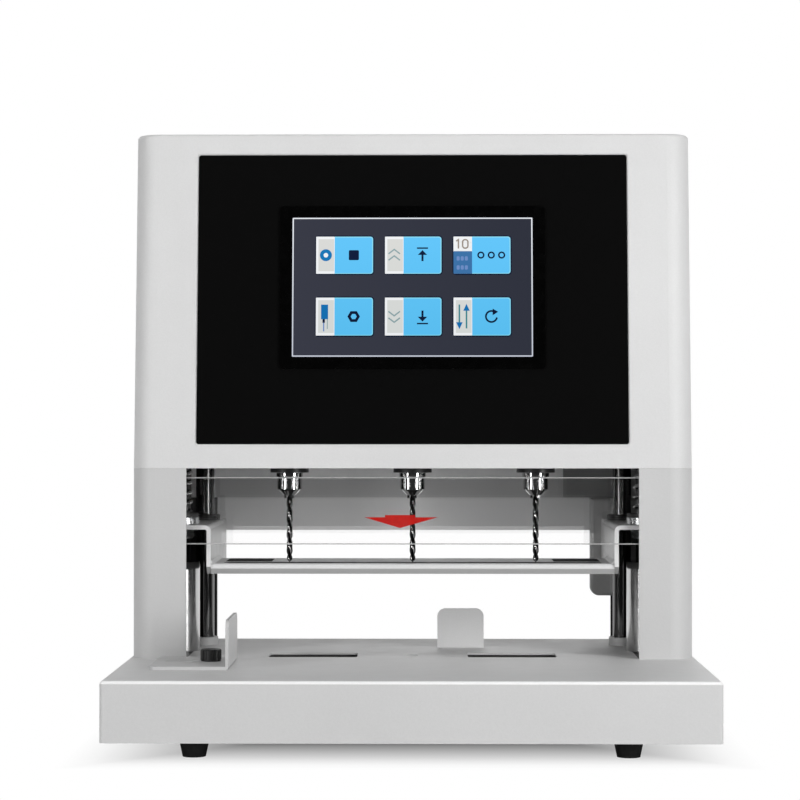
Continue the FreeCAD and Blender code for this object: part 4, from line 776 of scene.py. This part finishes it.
arrow_red = Graph("arrow_red")
patches = arrow_red.ramp(arrow_red.noise(260.0, 3.0), 0.3, 0.7)
arrow_red.set(
    colour=arrow_red.mix(patches, srgb(186, 12, 2), srgb(206, 20, 6)), rough=0.4, specular=0.2, alpha=0.9
)
arrow_outline = [
    (-22.6, 180.4), (2.2, 180.4), (2.2, 178.6), (21.2, 178.6), (-10.2, 169.7), (-39.9, 178.6), (-22.6, 178.6)
]
arrow_front, arrow_thickness = -7.0, 0.06
count = len(arrow_outline)
arrow_points = [
    Vector((x, arrow_front - depth, z)) * mm for depth in (0.0, arrow_thickness) for x, z in arrow_outline
]
arrow_faces = [tuple(range(count)), tuple(reversed(range(count, 2 * count)))]
arrow_faces += [(i, (i + 1) % count, count + (i + 1) % count, count + i) for i in range(count)]
arrow = piece("guard_arrow", arrow_points, arrow_faces, "frame", arrow_red.material, 20.0)


def edge_bead(name, z):
    """A thin rounded line along a cut edge of the guard strip: the frosted edge with a painted highlight on
    it.
    """
    half, y, reach, radius, around = 195.4, -5.5, 1.45, 0.55, 10
    points = []
    for x in (-half, half):
        for k in range(around):
            a = 2 * math.pi * k / around
            points.append(Vector((x, y + reach * math.cos(a), z + radius * math.sin(a))) * mm)
    bead = piece(name, points, tube_faces(2, around), "frame", finishes["acrylic_edge"], 50.0)


edge_bead("guard_edge_top", 211.05)
edge_bead("guard_edge_bottom", 156.55)


# Floor and light

def stage_material():
    """A pale floor that fades to white; metal sees it white behind the machine and dim in front."""
    g = Graph("floor")
    tree = g.tree
    tree.nodes.remove(g.shader)

    def shader(kind, colour):
        node = tree.nodes.new(kind)
        node.inputs["Color"].default_value = (colour, colour, colour, 1.0)
        return node.outputs[0]

    def blend(factor, a, b):
        node = tree.nodes.new("ShaderNodeMixShader")
        for socket, value in zip(node.inputs, (factor, a, b)):
            g.join(value, socket)
        return node.outputs[0]

    path = tree.nodes.new("ShaderNodeLightPath").outputs
    x, depth, _ = g.split()
    beside = g.maths("SUBTRACT", g.maths("ABSOLUTE", x), half_width)
    before = g.maths("SUBTRACT", g.maths("ABSOLUTE", depth), half_depth)
    far = g.ramp(g.maths("MAXIMUM", beside, before), -0.14, 0.03)
    mirrored = g.maths("MAXIMUM", path["Is Glossy Ray"], path["Is Transmission Ray"])
    white_behind = g.maths("MULTIPLY", mirrored, g.ramp(depth, 0.1, 0.5))
    white = g.maths("MAXIMUM", path["Is Camera Ray"], white_behind)
    dark = g.maths("MULTIPLY", path["Is Glossy Ray"], g.ramp(depth, -0.1, -0.3), clamp=True)
    pale = shader("ShaderNodeBsdfDiffuse", 0.93)
    plain = blend(dark, pale, shader("ShaderNodeEmission", 0.04))
    ends = blend(g.maths("MULTIPLY", far, white, clamp=True), plain, shader("ShaderNodeEmission", 1.0))
    g.join(ends, g.output.inputs[0])
    return g.material


floor_mesh = bpy.data.meshes.new("floor")
floor_mesh.from_pydata([(-9, -9, 0), (9, -9, 0), (9, 9, 0), (-9, 9, 0)], [], [(0, 1, 2, 3)])
floor_mesh.materials.append(stage_material())
floor = bpy.data.objects.new("floor", floor_mesh)
scene.collection.objects.link(floor)

world = bpy.data.worlds.new("studio")
scene.world = world
world.use_nodes = True
tree = world.node_tree
tree.nodes.clear()


def world_node(kind, **settings):
    node = tree.nodes.new(kind)
    for key, value in settings.items():
        setattr(node, key, value)
    return node


def background(level):
    node = world_node("ShaderNodeBackground")
    node.inputs["Color"].default_value = (1.0, 1.0, 1.0, 1.0)
    node.inputs["Strength"].default_value = level
    return node


def world_mix(factor, a, b):
    node = world_node("ShaderNodeMixShader")
    for socket, value in zip(node.inputs, (factor, a, b)):
        tree.links.new(value, socket)
    return node.outputs[0]


def world_maths(operation, a, b):
    node = world_node("ShaderNodeMath", operation=operation)
    tree.links.new(a, node.inputs[0])
    tree.links.new(b, node.inputs[1])
    return node.outputs[0]


out = world_node("ShaderNodeOutputWorld")
path = world_node("ShaderNodeLightPath")
direction = world_node("ShaderNodeTexCoord")
parts = world_node("ShaderNodeSeparateXYZ")
tree.links.new(direction.outputs["Generated"], parts.inputs[0])
behind = world_node("ShaderNodeMapRange")
tree.links.new(parts.outputs[1], behind.inputs["Value"])
behind.inputs["From Min"].default_value = 0.35
behind.inputs["From Max"].default_value = 0.75
shiny = world_maths("MAXIMUM", path.outputs["Is Glossy Ray"], path.outputs["Is Transmission Ray"])
plain, dim, white = background(0.18), background(0.04), background(1.0)
mirrored_room = world_mix(behind.outputs[0], dim.outputs[0], white.outputs[0])
lit = world_mix(shiny, plain.outputs[0], mirrored_room)
tree.links.new(world_mix(path.outputs["Is Camera Ray"], lit, white.outputs[0]), out.inputs[0])


def lamp(name, place, width, height, power):
    """A soft box that faces the middle of the machine."""
    target = Vector((0, 0, 0.3))
    data = bpy.data.lights.new(name, "AREA")
    data.shape = "RECTANGLE"
    data.size, data.size_y = width, height
    data.energy = power
    thing = bpy.data.objects.new(name, data)
    scene.collection.objects.link(thing)
    thing.location = place
    thing.rotation_mode = "QUATERNION"
    thing.rotation_quaternion = (target - Vector(place)).to_track_quat("-Z", "Y")


lamp("key", (1.45, -1.50, 0.66), 0.45, 1.3, 24)
lamp("fill", (-1.45, -1.50, 0.62), 0.30, 1.2, 14.5)
lamp("top", (0.1, -0.5, 2.0), 1.3, 0.8, 6)
lamp("back", (0.4, 2.0, 1.3), 1.2, 1.0, 6)

scene.view_settings.view_transform = "Standard"
